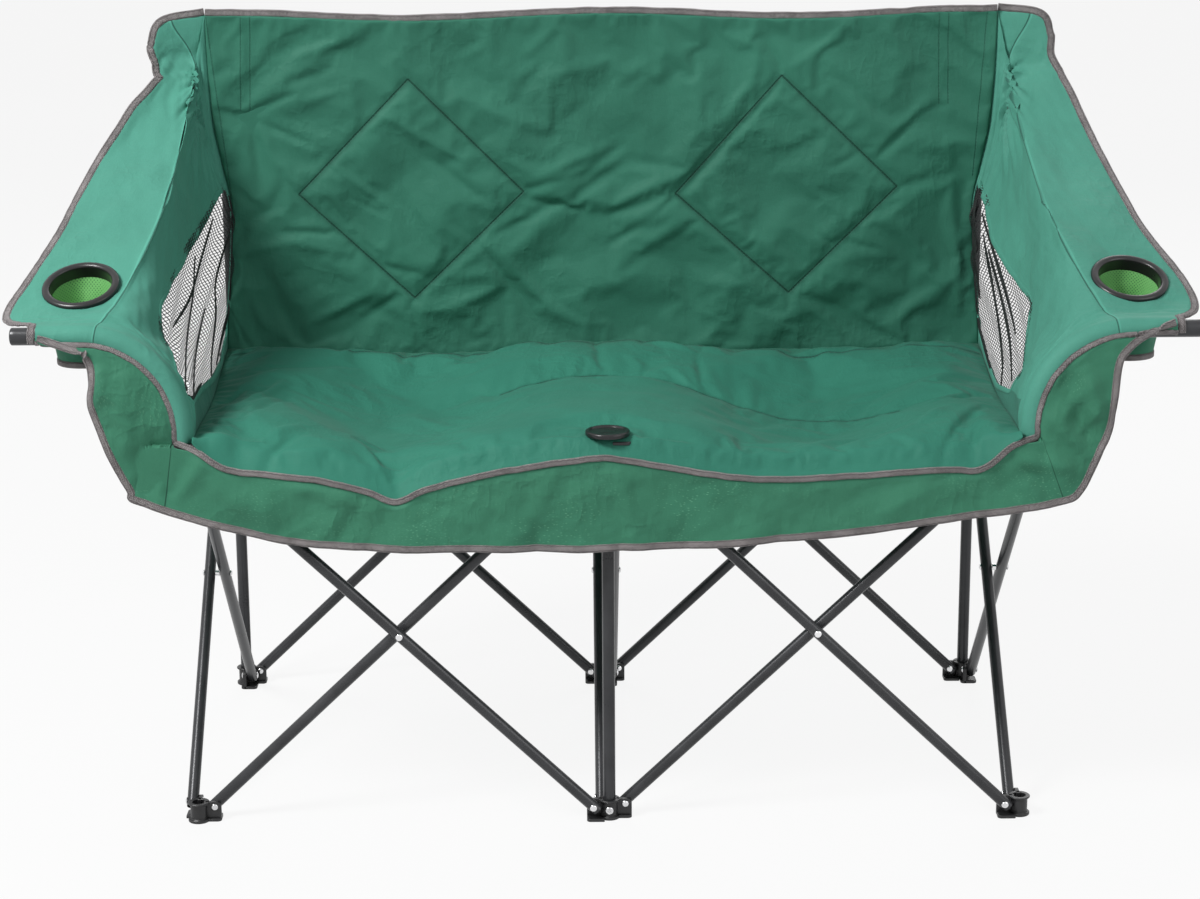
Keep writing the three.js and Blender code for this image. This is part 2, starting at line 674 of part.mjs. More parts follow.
for (const side of [-1, 1]) {
  const name = side < 0 ? 'left' : 'right';
  addMesh(`arm_tube_${name}`, armTube(side), 'tube');
  const panel = sheet((u, v) => armPoint(side, u, v), armColumns, armRows, () => clothThickness,
    (u, v) => !inWindow(u, v));

  // The cup ring fills a round hole in the arm's top and the pouch hangs from it
  const place = armPlace(side, ...cupPlaceShares);
  const turn = new THREE.Quaternion().setFromUnitVectors(new THREE.Vector3(0, 0, 1), place.normal);
  const hole = cylinder(cupRingOuter + 2 * gap, -cupRingOuter / 4, cupRingOuter / 4, roundSides);
  hole.applyQuaternion(turn).translate(...place.point);
  addMesh(`arm_panel_${name}`, toGeometry(toSolid(panel).subtract(toSolid(hole))), 'cloth');

  const [outer, inner] = [cupRingOuter / 2, cupRingInner / 2];
  const ring = turned([
    [outer, -cupRingBelow], [outer, cupRingAbove - cupRingRound],
    [outer - cupRingRound, cupRingAbove], [inner + cupRingRound, cupRingAbove],
    [inner, cupRingAbove - cupRingRound], [inner, -cupRingBelow], [outer, -cupRingBelow],
  ], roundSides);
  addMesh(`cup_ring_${name}`, ring.applyQuaternion(turn).translate(...place.point), 'plastic');

  const [topRadius, lowRadius] = [pouchTopDia / 2, pouchBottomDia / 2];
  const pouch = turned([
    [topRadius, 0], [lowRadius, -pouchDepth], [0, -pouchDepth],
    [0, pouchThickness - pouchDepth], [lowRadius - pouchThickness, pouchThickness - pouchDepth],
    [topRadius - pouchThickness, 0], [topRadius, 0],
  ]);
  const mouth = place.point.clone().addScaledVector(place.normal, -cupRingBelow - gap);
  const corners = pouch.attributes.position;
  const corner = new THREE.Vector3();
  for (let i = 0; i < corners.count; i++) {
    corner.fromBufferAttribute(corners, i);
    const depth = corner.z;
    const tilted = new THREE.Vector3(corner.x, corner.y, 0).applyQuaternion(turn);
    corner.z = 0;
    corner.lerp(tilted, 1 + depth / pouchDepth).add(mouth);
    corner.z += depth;
    corners.setXYZ(i, ...corner);
  }
  addMesh(`cup_pouch_${name}`, pouch, 'pouch');

  // The mesh fills the window, just inside its edges
  const [firstColumn, lastColumn] = windowColumns;
  const [firstRow, lastRow] = windowRows;
  const insetAcross = 2 * gap / (armRise + bendLength);
  const insetAlong = 2 * gap / bay;
  const meshAt = (u, v) => armPoint(
    side,
    THREE.MathUtils.lerp(firstColumn / armColumns + insetAcross, lastColumn / armColumns - insetAcross, u),
    THREE.MathUtils.lerp(firstRow / armRows + insetAlong, lastRow / armRows - insetAlong, v),
  );
  addMesh(`arm_mesh_${name}`,
    sheet(meshAt, lastColumn - firstColumn, lastRow - firstRow, () => meshThickness), 'mesh');

  // The binding follows the arm's outer edge and the top of the wing
  const frames = [];
  const lift = (bindingThickness - clothThickness) / 2;
  const addFrame = (u, v, away) => {
    const { point, normal } = armPlace(side, u, v);
    frames.push({ edge: point.addScaledVector(normal, lift), away: away.normalize(), normal });
  };
  for (let row = 0; row < armRows; row++) {
    if (row < wrapRows) {
      const { point } = armWrap(side, 0, wrapTurn * (1 - row / wrapRows));
      const { middle } = armLine(side, armStart(0));
      const normal = point.clone().sub(middle).normalize();
      frames.push({
        edge: point.addScaledVector(normal, lift), away: new THREE.Vector3(side, 0, 0), normal,
      });
    } else {
      addFrame(0, row / armRows, armPlace(side, 0, row / armRows).across.negate());
    }
  }
  const cornerPlace = armPlace(side, 0, 1);
  addFrame(0, 1, cornerPlace.across.negate().add(cornerPlace.along));
  for (let column = 1; column <= armTopColumns; column++) {
    addFrame(column / armColumns, 1, armPlace(side, column / armColumns, 1).along);
  }
  addMesh(`arm_binding_${name}`, tape(frames, bindingWidth, bindingThickness), 'binding');
}

// The seat. Its middle surface lies flat on the hubs, hollows between them and droops at the front.
const seatHalfAt = (y) => sideX(y) - clothThickness / 2 - 2 * gap;
const seatRearY = backRear - padEdge - gap;
const seatColumns = 22;
const seatRows = 12;
const seatSeamApexShare = 0.69;
const seatSeamSlopeShare = 0.36;

function seatPlace(u, v) {
  const row = v * seatRows;
  const y = between([
    [0, -seatFront], [1, -seatNose], [2, hubCover], [seatRows - 1, bay - hubCover], [seatRows, seatRearY],
  ], row)[0];
  const half = seatHalfAt(y);
  const column = u * seatColumns;
  const x = between([
    [0, -half], [1, hubCover - half], [seatColumns / 2 - 1, -hubCover], [seatColumns / 2, 0],
    [seatColumns / 2 + 1, hubCover], [seatColumns - 1, half - hubCover], [seatColumns, half],
  ], column)[0];
  const place = (Math.abs(x) - hubCover) / (half - 2 * hubCover);
  const depth = (y - hubCover) / (bay - 2 * hubCover);
  return { x, y, half, place, depth };
}

function seatPoint(u, v) {
  const { x, y, half, place, depth } = seatPlace(u, v);
  const depthShare = THREE.MathUtils.clamp(depth, 0, 1);
  const dip = (seatDip + (seatDipRear - seatDip) * depthShare) * sineSquared(place);
  const sag = seatMiddleSag * sineSquared(depth) * (1 + sineSquared(place));
  const beside = THREE.MathUtils.clamp((half - Math.abs(x)) / hubCover, 0, 1);
  const lip = y < -seatNose ? seatLip * (1 + beside) / 2 : 0;
  return new THREE.Vector3(x, y, hubTop + gap + padEdge / 2 - dip - sag - lip);
}

const channel = (distance) => 1 - Math.exp(-((distance / seamSoftness) ** 2));

function seatThickness(u, v) {
  const { x, y, place, depth } = seatPlace(u, v);
  const fromSeam = Math.abs(y - seatSeamApexShare * bay + seatSeamSlopeShare * Math.abs(x));
  const crown = Math.sqrt(sineSquared(place) * sineSquared(depth));
  return padEdge + padCrown * crown * channel(fromSeam);
}

const capHoleSides = 12;
const capHoleDia = (capStemDia + 2 * gap) / Math.cos(Math.PI / capHoleSides);
const capHoleTop = hubTop + padEdge + padCrown + overrun;
const capHole = cylinder(capHoleDia, hubTop - overrun, capHoleTop, capHoleSides);
const seat = toSolid(sheet(seatPoint, seatColumns, seatRows, seatThickness)).subtract(toSolid(capHole));
addMesh('seat_pad', toGeometry(seat), 'cloth');

// The cap on the seat over the middle front hub, with its stem down to the hub
const capFoot = hubTop + gap + padEdge + gap;
const capTop = capFoot + capHeight;
addMesh('seat_cap', turned([
  [0, hubTop + gap], [capStemDia / 2, hubTop + gap], [capStemDia / 2, capFoot],
  [capDia / 2, capFoot], [capDia / 2, capTop - capRecess], [capDia / 2 - capRecess, capTop],
  [capDia / 2 - capRim, capTop], [capDia / 2 - capRim - capRecess, capTop - capRecess],
  [0, capTop - capRecess],
], roundSides), 'plastic');

// The back, with four sewn lines in a diamond on each half
const backColumns = 16;
const backRows = 2 * seamRows;
const diamondOffsetShare = 0.497;
const diamondHalfWidthShare = 0.297;
const diamondHeightShare = 0.488;
const diamondHalfHeightShare = 0.325;
const diamondDepthShare = 0.8;
const backFullnessShare = 0.6;

function backOutline(u, v) {
  const edge = backHalf(v);
  const x = between([
    [0, -edge], [1, hubCover - edge], [backColumns / 2 - 1, -hubCover], [backColumns / 2, 0],
    [backColumns / 2 + 1, hubCover], [backColumns - 1, edge - hubCover], [backColumns, edge],
  ], u * backColumns)[0];
  const half = seatHalfAt(seatRearY);
  const place = (Math.abs(x) - hubCover) / (half - 2 * hubCover);
  const foot = seamFoot - seatDipRear * sineSquared(place);
  const top = backTop - backTopSag * sineSquared(Math.abs(x) / bay);
  return { x, z: foot + (top - foot) * v };
}

function backThickness(u, v) {
  const { x } = backOutline(u, v);
  const across = Math.abs(Math.abs(x) / bay - diamondOffsetShare) / diamondHalfWidthShare;
  const up = Math.abs(v - diamondHeightShare) / diamondHalfHeightShare;
  const fromSeam = Math.abs(across + up - 1) * diamondHalfHeightShare * backRise / Math.SQRT2;
  const aboveFoot = (v * backRows - 1) / (backRows - 1);
  const crown = Math.sqrt(sineSquared(u) * sineSquared(aboveFoot)) ** backFullnessShare;
  return padEdge + backCrown * crown * (1 - diamondDepthShare * (1 - channel(fromSeam)));
}

function backPoint(u, v) {
  const { x, z } = backOutline(u, v);
  return new THREE.Vector3(x, backRear - backThickness(u, v) / 2, z);
}

addMesh('back_pad', sheet(backPoint, backColumns, backRows, backThickness), 'cloth');

const backTopFrames = [];
for (let column = 0; column <= backColumns; column++) {
  backTopFrames.push({
    edge: backPoint(column / backColumns, 1),
    away: new THREE.Vector3(0, 0, 1),
    normal: new THREE.Vector3(0, 1, 0),
  });
}
addMesh('back_binding', tape(backTopFrames, bindingWidth, bindingThickness), 'binding');

// The front line: along one arm panel's front edge, round the corner, along the seat and up the other
// arm. Each frame has a point, the direction down the skirt, and the cloth's normal.
const cornerForwardShare = 0.6;
const cornerStartShare = 0.9;

// Near the corner the line leaves the arm's front edge a little forward and upward, clear of the seat.
function armFrontFrame(side, u) {
  const { point, away } = armWrap(side, acrossAt(u), wrapTurn);
  const low = Math.max(0, (u - cornerStartShare) / (1 - cornerStartShare));
  away.add(new THREE.Vector3(0, -cornerForwardShare * low, 0)).normalize();
  const normal = armLine(side, armStart(acrossAt(u))).ahead.cross(away).normalize();
  if (normal.y < 0) normal.negate();
  const lifted = new THREE.Vector3(0, -4 * gap, 5 * gap).addScaledVector(away, 4 * gap);
  return { edge: point.addScaledVector(lifted, low), away, normal };
}

function seatFrontFrame(u) {
  const edge = seatPoint(u, 0);
  const away = edge.clone().sub(seatPoint(u, 1 / seatRows)).normalize();
  away.x = 0;
  away.normalize();
  const normal = new THREE.Vector3(1, 0, 0).cross(away).normalize();
  return { edge: edge.addScaledVector(away, gap), away, normal };
}

function cornerFrame(side) {
  const [arm, pad] = [armFrontFrame(side, 1), seatFrontFrame(side < 0 ? 0 : 1)];
  const edge = arm.edge.clone().lerp(pad.edge, 0.5);
  edge.z = hubTop + bindingThickness;
  const away = arm.away.clone().add(pad.away).normalize();
  const normal = arm.normal.clone().add(pad.normal).normalize();
  return { edge, away, normal };
}

const frontLine = [];
for (let i = 0; i <= armColumns; i++) frontLine.push(armFrontFrame(-1, i / armColumns));
frontLine.push(cornerFrame(-1));
for (let i = 0; i <= seatColumns; i++) frontLine.push(seatFrontFrame(i / seatColumns));
frontLine.push(cornerFrame(1));
for (let i = armColumns; i >= 0; i--) frontLine.push(armFrontFrame(1, i / armColumns));
addMesh('front_piping', tape(frontLine, pipingWidth, bindingThickness), 'binding');

// The skirt hangs from the front line. Its hem, from the middle of the chair outward, is given by the
// place along the front line, then outward, forward and up.
const hemShares = [
  [0, 0, 0.052, 0.737], [0.3, 0.51, 0.052, 0.741], [0.39, 0.79, 0.052, 0.766],
  [0.46, 1.005, 0.052, 0.828], [0.5, 1.075, 0.052, 0.85], [0.54, 1.115, 0.053, 0.885],
  [0.58, 1.14, 0.053, 0.92], [0.66, 1.17, 0.05, 0.985], [0.77, 1.195, 0.045, 1.06],
  [0.88, 1.202, 0.04, 1.125], [0.93, 1.215, 0.032, 1.175], [0.965, 1.25, 0.026, 1.208],
  [1, 1.32, 0.022, 1.232],
];
const skirtColumns = frontLine.length - 1;
const skirtRows = 3;
const skirtFolds = 9;

function skirtPoint(u, v) {
  const { edge, away } = frontLine[Math.round(u * skirtColumns)];
  const top = edge.clone().addScaledVector(away, pipingWidth + 3 * gap + clothThickness / 2);
  const place = Math.abs(2 * u - 1);
  const [out, forward, up] = between(hemShares, place);
  const hem = new THREE.Vector3(Math.sign(2 * u - 1) * out * bay, -forward * bay, up * hubTop);
  const point = top.lerp(hem, v);
  const fold = Math.sin(place * skirtFolds * Math.PI) ** 2 * (1 - place) * v;
  return point.add(new THREE.Vector3(0, -skirtFold * fold, 0));
}

addMesh('front_skirt', sheet(skirtPoint, skirtColumns, skirtRows, () => clothThickness), 'skirt');

const hemLine = [];
for (let i = 0; i <= skirtColumns; i++) {
  const u = i / skirtColumns;
  const edge = skirtPoint(u, 1);
  const away = edge.clone().sub(skirtPoint(u, 1 - 1 / skirtRows)).normalize();
  const beside = skirtPoint(Math.min(i + 1, skirtColumns) / skirtColumns, 1)
    .sub(skirtPoint(Math.max(i - 1, 0) / skirtColumns, 1));
  const normal = beside.cross(away).normalize();
  hemLine.push({ edge, away: away.projectOnPlane(normal).normalize(), normal });
}
addMesh('skirt_hem', tape(hemLine, bindingWidth, bindingThickness), 'binding');

// The chair is centred from front to back
const extent = new THREE.Box3().setFromObject(chair);
chair.position.y = -(extent.min.y + extent.max.y) / 2;

export default chair;
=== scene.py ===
"""Looks of the folding camping loveseat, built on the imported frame.

Lengths are in metres. X runs across the seat, Y from front to back, Z up; the floor is at zero.
Cloth, tapes, tubes and rivets are surfaces worked out with numpy on grids of two parameters.
"""
import json
import math

import bmesh
import bpy
import numpy as np
from mathutils import Matrix

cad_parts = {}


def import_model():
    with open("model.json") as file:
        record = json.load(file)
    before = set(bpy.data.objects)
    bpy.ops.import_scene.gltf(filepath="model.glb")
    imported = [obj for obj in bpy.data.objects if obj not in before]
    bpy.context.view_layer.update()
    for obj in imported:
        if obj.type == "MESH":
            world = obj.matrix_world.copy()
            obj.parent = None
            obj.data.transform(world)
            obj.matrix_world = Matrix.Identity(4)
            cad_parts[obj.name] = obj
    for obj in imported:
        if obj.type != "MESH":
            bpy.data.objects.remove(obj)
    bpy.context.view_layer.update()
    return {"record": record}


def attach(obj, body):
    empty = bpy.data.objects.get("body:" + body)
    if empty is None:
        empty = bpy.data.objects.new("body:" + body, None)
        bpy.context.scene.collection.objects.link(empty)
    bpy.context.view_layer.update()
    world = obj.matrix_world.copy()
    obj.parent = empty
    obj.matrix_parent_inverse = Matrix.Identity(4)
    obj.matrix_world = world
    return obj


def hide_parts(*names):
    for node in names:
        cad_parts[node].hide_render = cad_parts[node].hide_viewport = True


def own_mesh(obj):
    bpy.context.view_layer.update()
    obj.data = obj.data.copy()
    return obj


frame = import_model()

MM = 0.001
TURN = 2 * math.pi
BAY = 0.530  # between neighbouring feet, both ways
FRONT = -0.258  # the front row of feet
REAR = FRONT + BAY
PIN_LOW = 0.019  # the pivots in the feet
PIN_HIGH = 0.486  # and in the hubs
REACH = 0.0205  # from a stand's middle to its pivots
TUBE_R = 0.0075
TUBE_OFFSET = 0.0103  # of a crossed tube from the middle of its bay
HUB_TOP = 0.505
ARM_BEND = 0.119925  # radius of the arm tube's bend
ARM_RISE = 0.016  # its straight length below the bend
ARM_TIP = 0.735
ARM_R = 0.011
COVER_R = 0.01338  # the arm cloth's middle, round the arm tube
FOLDED_SHARE = 0.22  # of the cloth's width that is left when the frame is folded
SIDEWAYS = ((1, 0, 0), (0, 0, 0), FOLDED_SHARE)  # axis and anchor for the seat, back and skirt


# Numbers


def smooth(value, low, high):
    """0 below low, 1 above high, and 3t^2 - 2t^3 between them."""
    share = np.clip((value - low) / (high - low), 0, 1)
    return share * share * (3 - 2 * share)


def cubic(share, width, first, first_slope, second, second_slope):
    """The cubic with given values and slopes at both ends of a stretch, at a share of its width."""
    square, cube = share**2, share**3
    return (
        (2 * cube - 3 * square + 1) * first
        + (cube - 2 * square + share) * width * first_slope
        + (3 * square - 2 * cube) * second
        + (cube - square) * width * second_slope
    )


def through(knots, values, at):
    """A cubic through the values at the knots, with slopes from each knot's two neighbours."""
    knots = np.asarray(knots, float)
    values = np.asarray(values, float)
    slopes = np.gradient(values, knots, axis=0)
    at = np.clip(np.asarray(at, float), knots[0], knots[-1])
    low = np.clip(np.searchsorted(knots, at, side="right") - 1, 0, len(knots) - 2)
    width = knots[low + 1] - knots[low]
    share = (at - knots[low]) / width
    if values.ndim > 1:
        share, width = share[..., None], width[..., None]
    return cubic(share, width, values[low], slopes[low], values[low + 1], slopes[low + 1])


def stretches(*marks):
    """Rising numbers: evenly spaced from each mark to the next, with each mark's count of them."""
    runs = [np.linspace(low, high, count)[:-1] for (low, count), (high, _) in zip(marks, marks[1:])]
    return np.r_[tuple(runs) + (marks[-1][0],)]


def unit(vectors):
    """Vectors divided by their lengths."""
    length = np.linalg.norm(vectors, axis=-1, keepdims=True)
    return vectors / np.maximum(length, 1e-12)


def folds(across, up, strokes):
    """Sum of soft ridges, listed in millimetres: each runs from one point to another, has a width and a
    height, and fades as a Gaussian of the distance from its line."""
    total = np.zeros(np.broadcast(across, up).shape)
    for stroke in strokes:
        x0, z0, x1, z1, width, height = (value / 1000 for value in stroke)
        along_x, along_z = x1 - x0, z1 - z0
        length = math.hypot(along_x, along_z)
        place = ((across - x0) * along_x + (up - z0) * along_z) / length**2
        beyond = np.maximum(np.abs(place - 0.5) - 0.5, 0) * length
        side = ((across - x0) * along_z - (up - z0) * along_x) / length
        taper = 0.35 + 0.65 * np.sin(np.pi * np.clip(place, 0, 1))
        total = total + height * taper * np.exp(-(side**2 + beyond**2) / width**2)
    return total


def bay_wave(x, half):
    """0 at the middle stand and at the sides, 1 in the middle of each of the two places."""
    return np.sin(np.pi * np.clip((np.abs(x) - 0.033) / (half - 0.066), 0, 1)) ** 2


def ripple(across, up, size, seed, layers=4):
    """Uneven cloth: sines in seeded directions, each layer finer and lower than the one before."""
    chance = np.random.default_rng(seed)
    total = np.zeros(np.broadcast(across, up).shape)
    for layer in range(layers):
        for _ in range(3):
            turn = chance.uniform(0, math.pi)
            phase = chance.uniform(0, TURN)
            pitch = size / 1.7**layer
            wave = (across * math.cos(turn) + up * math.sin(turn)) * TURN / pitch
            total = total + np.sin(wave + phase + 1.3 * np.sin(wave * 0.37 + phase)) / 1.8**layer
    return total / 3


def normals(grid):
    """The direction square to a grid of points."""
    return unit(np.cross(np.gradient(grid, axis=0), np.gradient(grid, axis=1)))


def lengths(grid):
    """Cloth coordinates of a grid: the running length of its middle row and middle column."""
    middle_row = grid[:, grid.shape[1] // 2]
    middle_column = grid[grid.shape[0] // 2]
    across = np.r_[0, np.cumsum(np.linalg.norm(np.diff(middle_row, axis=0), axis=1))]
    along = np.r_[0, np.cumsum(np.linalg.norm(np.diff(middle_column, axis=0), axis=1))]
    return np.stack(np.meshgrid(across, along, indexing="ij"), axis=-1)


def cell_middles(values):
    """The middle of each cell of a grid, between two of its opposite corners."""
    return (values[:-1, :-1] + values[1:, 1:]) / 2


def area_of(grid, kept=None):
    """The area of a grid of points, or of those of its cells that are kept."""
    first = grid[1:, :-1] - grid[:-1, :-1]
    second = grid[:-1, 1:] - grid[:-1, :-1]
    cells = np.linalg.norm(np.cross(first, second), axis=-1)
    return float(cells.sum() if kept is None else cells[kept].sum())


# Meshes


class Piece:
    """A mesh gathered from grids of points, each with its own finish."""

    def __init__(self, name):
        self.name = name
        self.points = []
        self.faces = []
        self.marks = []
        self.places = []
        self.spans = []
        self.count = 0

    def add(self, grid, finish=0, places=None, kept=None, spans=None):
        """Joins neighbouring points of the grid into faces. kept leaves some cells out. places are the
        cloth's coordinates in metres, and spans the two parameters of its surface."""
        across, along = grid.shape[:2]
        index = np.arange(across * along).reshape(across, along) + self.count
        quads = np.stack([index[:-1, :-1], index[1:, :-1], index[1:, 1:], index[:-1, 1:]], axis=-1)
        quads = quads[kept] if kept is not None else quads.reshape(-1, 4)
        if places is None:
            places = lengths(grid)
        self.points.append(grid.reshape(-1, 3))
        self.places.append(places.reshape(-1, 2))
        self.spans.append((places * 0 - 9 if spans is None else spans).reshape(-1, 2))
        self.faces.append(quads)
        self.marks.append(np.full(len(quads), finish))
        self.count += across * along
        return self

    def tape(self, edge, away, normal, width, thickness, near, closed=False):
        """A flat band beside an edge, with its length and its width as cloth coordinates. near is how
        far outward of the edge it begins."""
        band, across = tape_band(edge, away, normal, width, thickness, near, closed)
        along = np.r_[0, np.cumsum(np.linalg.norm(np.diff(edge, axis=0), axis=1))]
        if not closed:
            along = np.r_[along[:1], along, along[-1:]]
        return self.add(band, places=np.stack(np.meshgrid(along, across, indexing="ij"), -1))

    def make(self, finishes, closed=True, sharp=35):
        """The mesh object. Doubled points are merged, which closes seams and poles."""
        points = np.concatenate(self.points)
        faces = np.concatenate(self.faces)
        mesh = bpy.data.meshes.new(self.name)
        mesh.from_pydata(points.tolist(), [], faces.tolist())
        mesh.polygons.foreach_set("material_index", np.concatenate(self.marks).astype(np.int32))
        for name, values in (("cloth", self.places), ("panel", self.spans)):
            layer = mesh.uv_layers.new(name=name)
            values = np.concatenate(values)[faces.ravel()]
            layer.data.foreach_set("uv", values.astype(np.float32).ravel())
        work = bmesh.new()
        work.from_mesh(mesh)
        bmesh.ops.remove_doubles(work, verts=work.verts, dist=1e-6)
        bmesh.ops.dissolve_degenerate(work, edges=work.edges, dist=1e-7)
        if closed:
            bmesh.ops.recalc_face_normals(work, faces=work.faces)
        work.to_mesh(mesh)
        work.free()
        for finish in finishes:
            mesh.materials.append(finish)
        mesh.shade_smooth()
        mesh.set_sharp_from_angle(angle=math.radians(sharp))
        piece = bpy.data.objects.new(self.name, mesh)
        bpy.context.scene.collection.objects.link(piece)
        return piece


def swept(centres, radii, side, around):
    """Rings about a path: centre + radius * (cos a * first + sin a * second), with first the side
    direction made square to the path and second square to both."""
    centres = np.asarray(centres, float)
    radii = np.asarray(radii, float)
    ahead = unit(np.gradient(centres, axis=0))
    side = np.asarray(side, float)
    first = unit(side - (ahead @ side)[:, None] * ahead)
    second = np.cross(ahead, first)
    turn = np.linspace(0, TURN, around + 1)[None, :, None]
    ring = np.cos(turn) * first[:, None] + np.sin(turn) * second[:, None]
    return centres[:, None] + radii[:, None, None] * ring


def pole(rings, count):
    """Each ring's middle, repeated as often as a ring has points, to close its end."""
    return rings.mean(axis=1, keepdims=True).repeat(count, axis=1)


def lathe(start, axis, profile, around=28):
    """A profile of (radius, height) pairs turned about an axis through start."""
    start = np.asarray(start, float)
    axis = unit(np.asarray(axis, float))
    other = np.array([0.0, 0.0, 1.0]) if abs(axis[2]) < 0.9 else np.array([1.0, 0.0, 0.0])
    first = unit(other - (other @ axis) * axis)
    second = np.cross(axis, first)
    radius, height = np.asarray(profile, float).T
    turn = np.linspace(0, TURN, around + 1)[None, :, None]
    ring = np.cos(turn) * first + np.sin(turn) * second
    return start + height[:, None, None] * axis + radius[:, None, None] * ring


def rod(start, axis, radius, length, around=12):
    """A plain cylinder with flat ends."""
    return lathe(start, axis, [(0, 0), (radius, 0), (radius, length), (0, length)], around)


def open_tube(start, end, outer, wall, lip=0.0004):
    """Outer wall, rounded lip, bore and rounded lip of a straight tube, as one closed loop."""
    start, end = np.asarray(start, float), np.asarray(end, float)
    length = np.linalg.norm(end - start)
    inner = outer - wall
    profile = [
        (outer, lip), (outer, length * 0.25), (outer, length * 0.5), (outer, length * 0.75),
        (outer, length - lip), (outer - lip, length), (inner + lip / 2, length),
        (inner, length - lip), (inner, length * 0.5), (inner, lip), (inner + lip / 2, 0),
        (outer - lip, 0), (outer, lip),
    ]
    return lathe(start, end - start, profile)


def dome(base, axis, radius, height):
    """A rivet's head: flat underside and a crown that is a quarter of an ellipse."""
    turn = np.linspace(0, np.pi / 2, 7)
    profile = [(0, 0)] + [(radius * math.cos(a), height * math.sin(a)) for a in turn]
    profile[-1] = (0, height)
    return lathe(base, axis, profile, around=20)


def tape_band(edge, away, normal, width, thickness, near, closed):
    """A rounded oblong section carried along an edge. Gives its points, and how far each line of them
    lies from the edge. An open band ends in a cap; a closed one runs into its own start."""
    bend = min(thickness, width) / 2 * 0.9
    corner = np.linspace(0, np.pi / 2, 4)
    spots = []
    for quarter, (x, z) in enumerate([(1, 1), (0, 1), (0, -1), (1, -1)]):
        for a in corner + quarter * np.pi / 2:
            centre_x = near + bend if x == 0 else near + width - bend
            centre_z = z * (thickness / 2 - bend)
            spots.append((centre_x + bend * math.cos(a), centre_z + bend * math.sin(a)))
    spots = np.array(spots + spots[:1])
    band = edge[:, None] + spots[None, :, :1] * away[:, None] + spots[None, :, 1:] * normal[:, None]
    if not closed:
        middle = pole(band[:, :-1], band.shape[1])
        band = np.concatenate([middle[:1], band, middle[-1:]])
    return band, spots[:, 0] - near


def stand(piece, body, *replaced, slot, crush=None):
    """Lets a piece ride on its body and stand for its CAD nodes, which it hides. With crush given, the
    piece first gets its own copy of its mesh."""
    if crush:
        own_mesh(piece)
    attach(piece, body)
    if replaced:
        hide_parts(*replaced)
    return piece


# The cover's surfaces

BACK_REAR = REAR - 0.0101  # the back's rear face, before the posts
SEAM_Y = BACK_REAR - 0.0025  # the seam between the back and each arm panel, and its foot
SEAM_FOOT = HUB_TOP + 0.0003
BACK_TOP = 0.983
BACK_RISE = BACK_TOP - HUB_TOP
ARM_OUT = ARM_TIP - BAY
BEND_LENGTH = ARM_BEND * math.pi / 2
ARM_LENGTH = ARM_RISE + BEND_LENGTH + ARM_OUT - ARM_BEND
CREASE = 0.3  # the share of an arm panel that is the arm's top
WRAP_TURN = 0.3  # of a turn, by which the arm cloth goes round the tube's front
SEAM_SHARES = [1.013, 1.0065, 0.9965, 0.989, 0.9855, 1.004, 1.023, 1.031, 1.035, 1.0365]
SIDE_FRONT = BAY - COVER_R
SIDE_REAR = BAY * SEAM_SHARES[0] + 0.0013


def back_half(height):
    """Half the back's width at a share of its height, through ten evenly spaced values."""
    return BAY * through(np.linspace(0, 1, len(SEAM_SHARES)), SEAM_SHARES, height)


def side_x(y):
    """Where the seat meets the arm panel: a straight line from the arm tube to the back's foot."""
    return SIDE_FRONT + (SIDE_REAR - SIDE_FRONT) * (y - FRONT) / (SEAM_Y - FRONT)


def arm_line(length):
    """The arm tube's middle line followed by length: straight up, a quarter circle, straight out.
    Gives the way out from the hub, the way up from it and the angle turned so far."""
    angle = np.clip((length - ARM_RISE) / ARM_BEND, 0, math.pi / 2)
    up = np.minimum(length, ARM_RISE) + ARM_BEND * np.sin(angle)
    out = ARM_BEND * (1 - np.cos(angle)) + np.maximum(0, length - ARM_RISE - BEND_LENGTH)
    return out, up, angle


def arm_start(across):
    """The place along the arm tube at which each line of the arm panel starts, from near the tip
    past the crease to the hub."""
    crease = ARM_RISE + BEND_LENGTH * 0.9
    tip = ARM_LENGTH - 0.031
    return np.interp(across, [0, CREASE, 1], [tip, crease, 0.0003])


def arm_wrap(side, across, turn):
    """A circle about the arm tube, turned from its upper side toward its front."""
    out, up, angle = arm_line(arm_start(across))
    swing = TURN * turn
    x = side * (BAY + out - COVER_R * np.cos(swing) * np.cos(angle))
    y = FRONT - COVER_R * np.sin(swing) + 0 * across
    z = HUB_TOP + up + COVER_R * np.cos(swing) * np.sin(angle)
    return np.stack(np.broadcast_arrays(x, y, z), axis=-1)


def station(side, across, rows):
    """A place given by shares of the space outside, behind and above a hub."""
    rows = np.asarray(rows, float)
    out, along, up = (through(rows[:, 0], rows[:, k], across) for k in (1, 2, 3))
    return np.stack([side * (BAY + out * ARM_OUT), FRONT + along * BAY, HUB_TOP + up * BACK_RISE], -1)


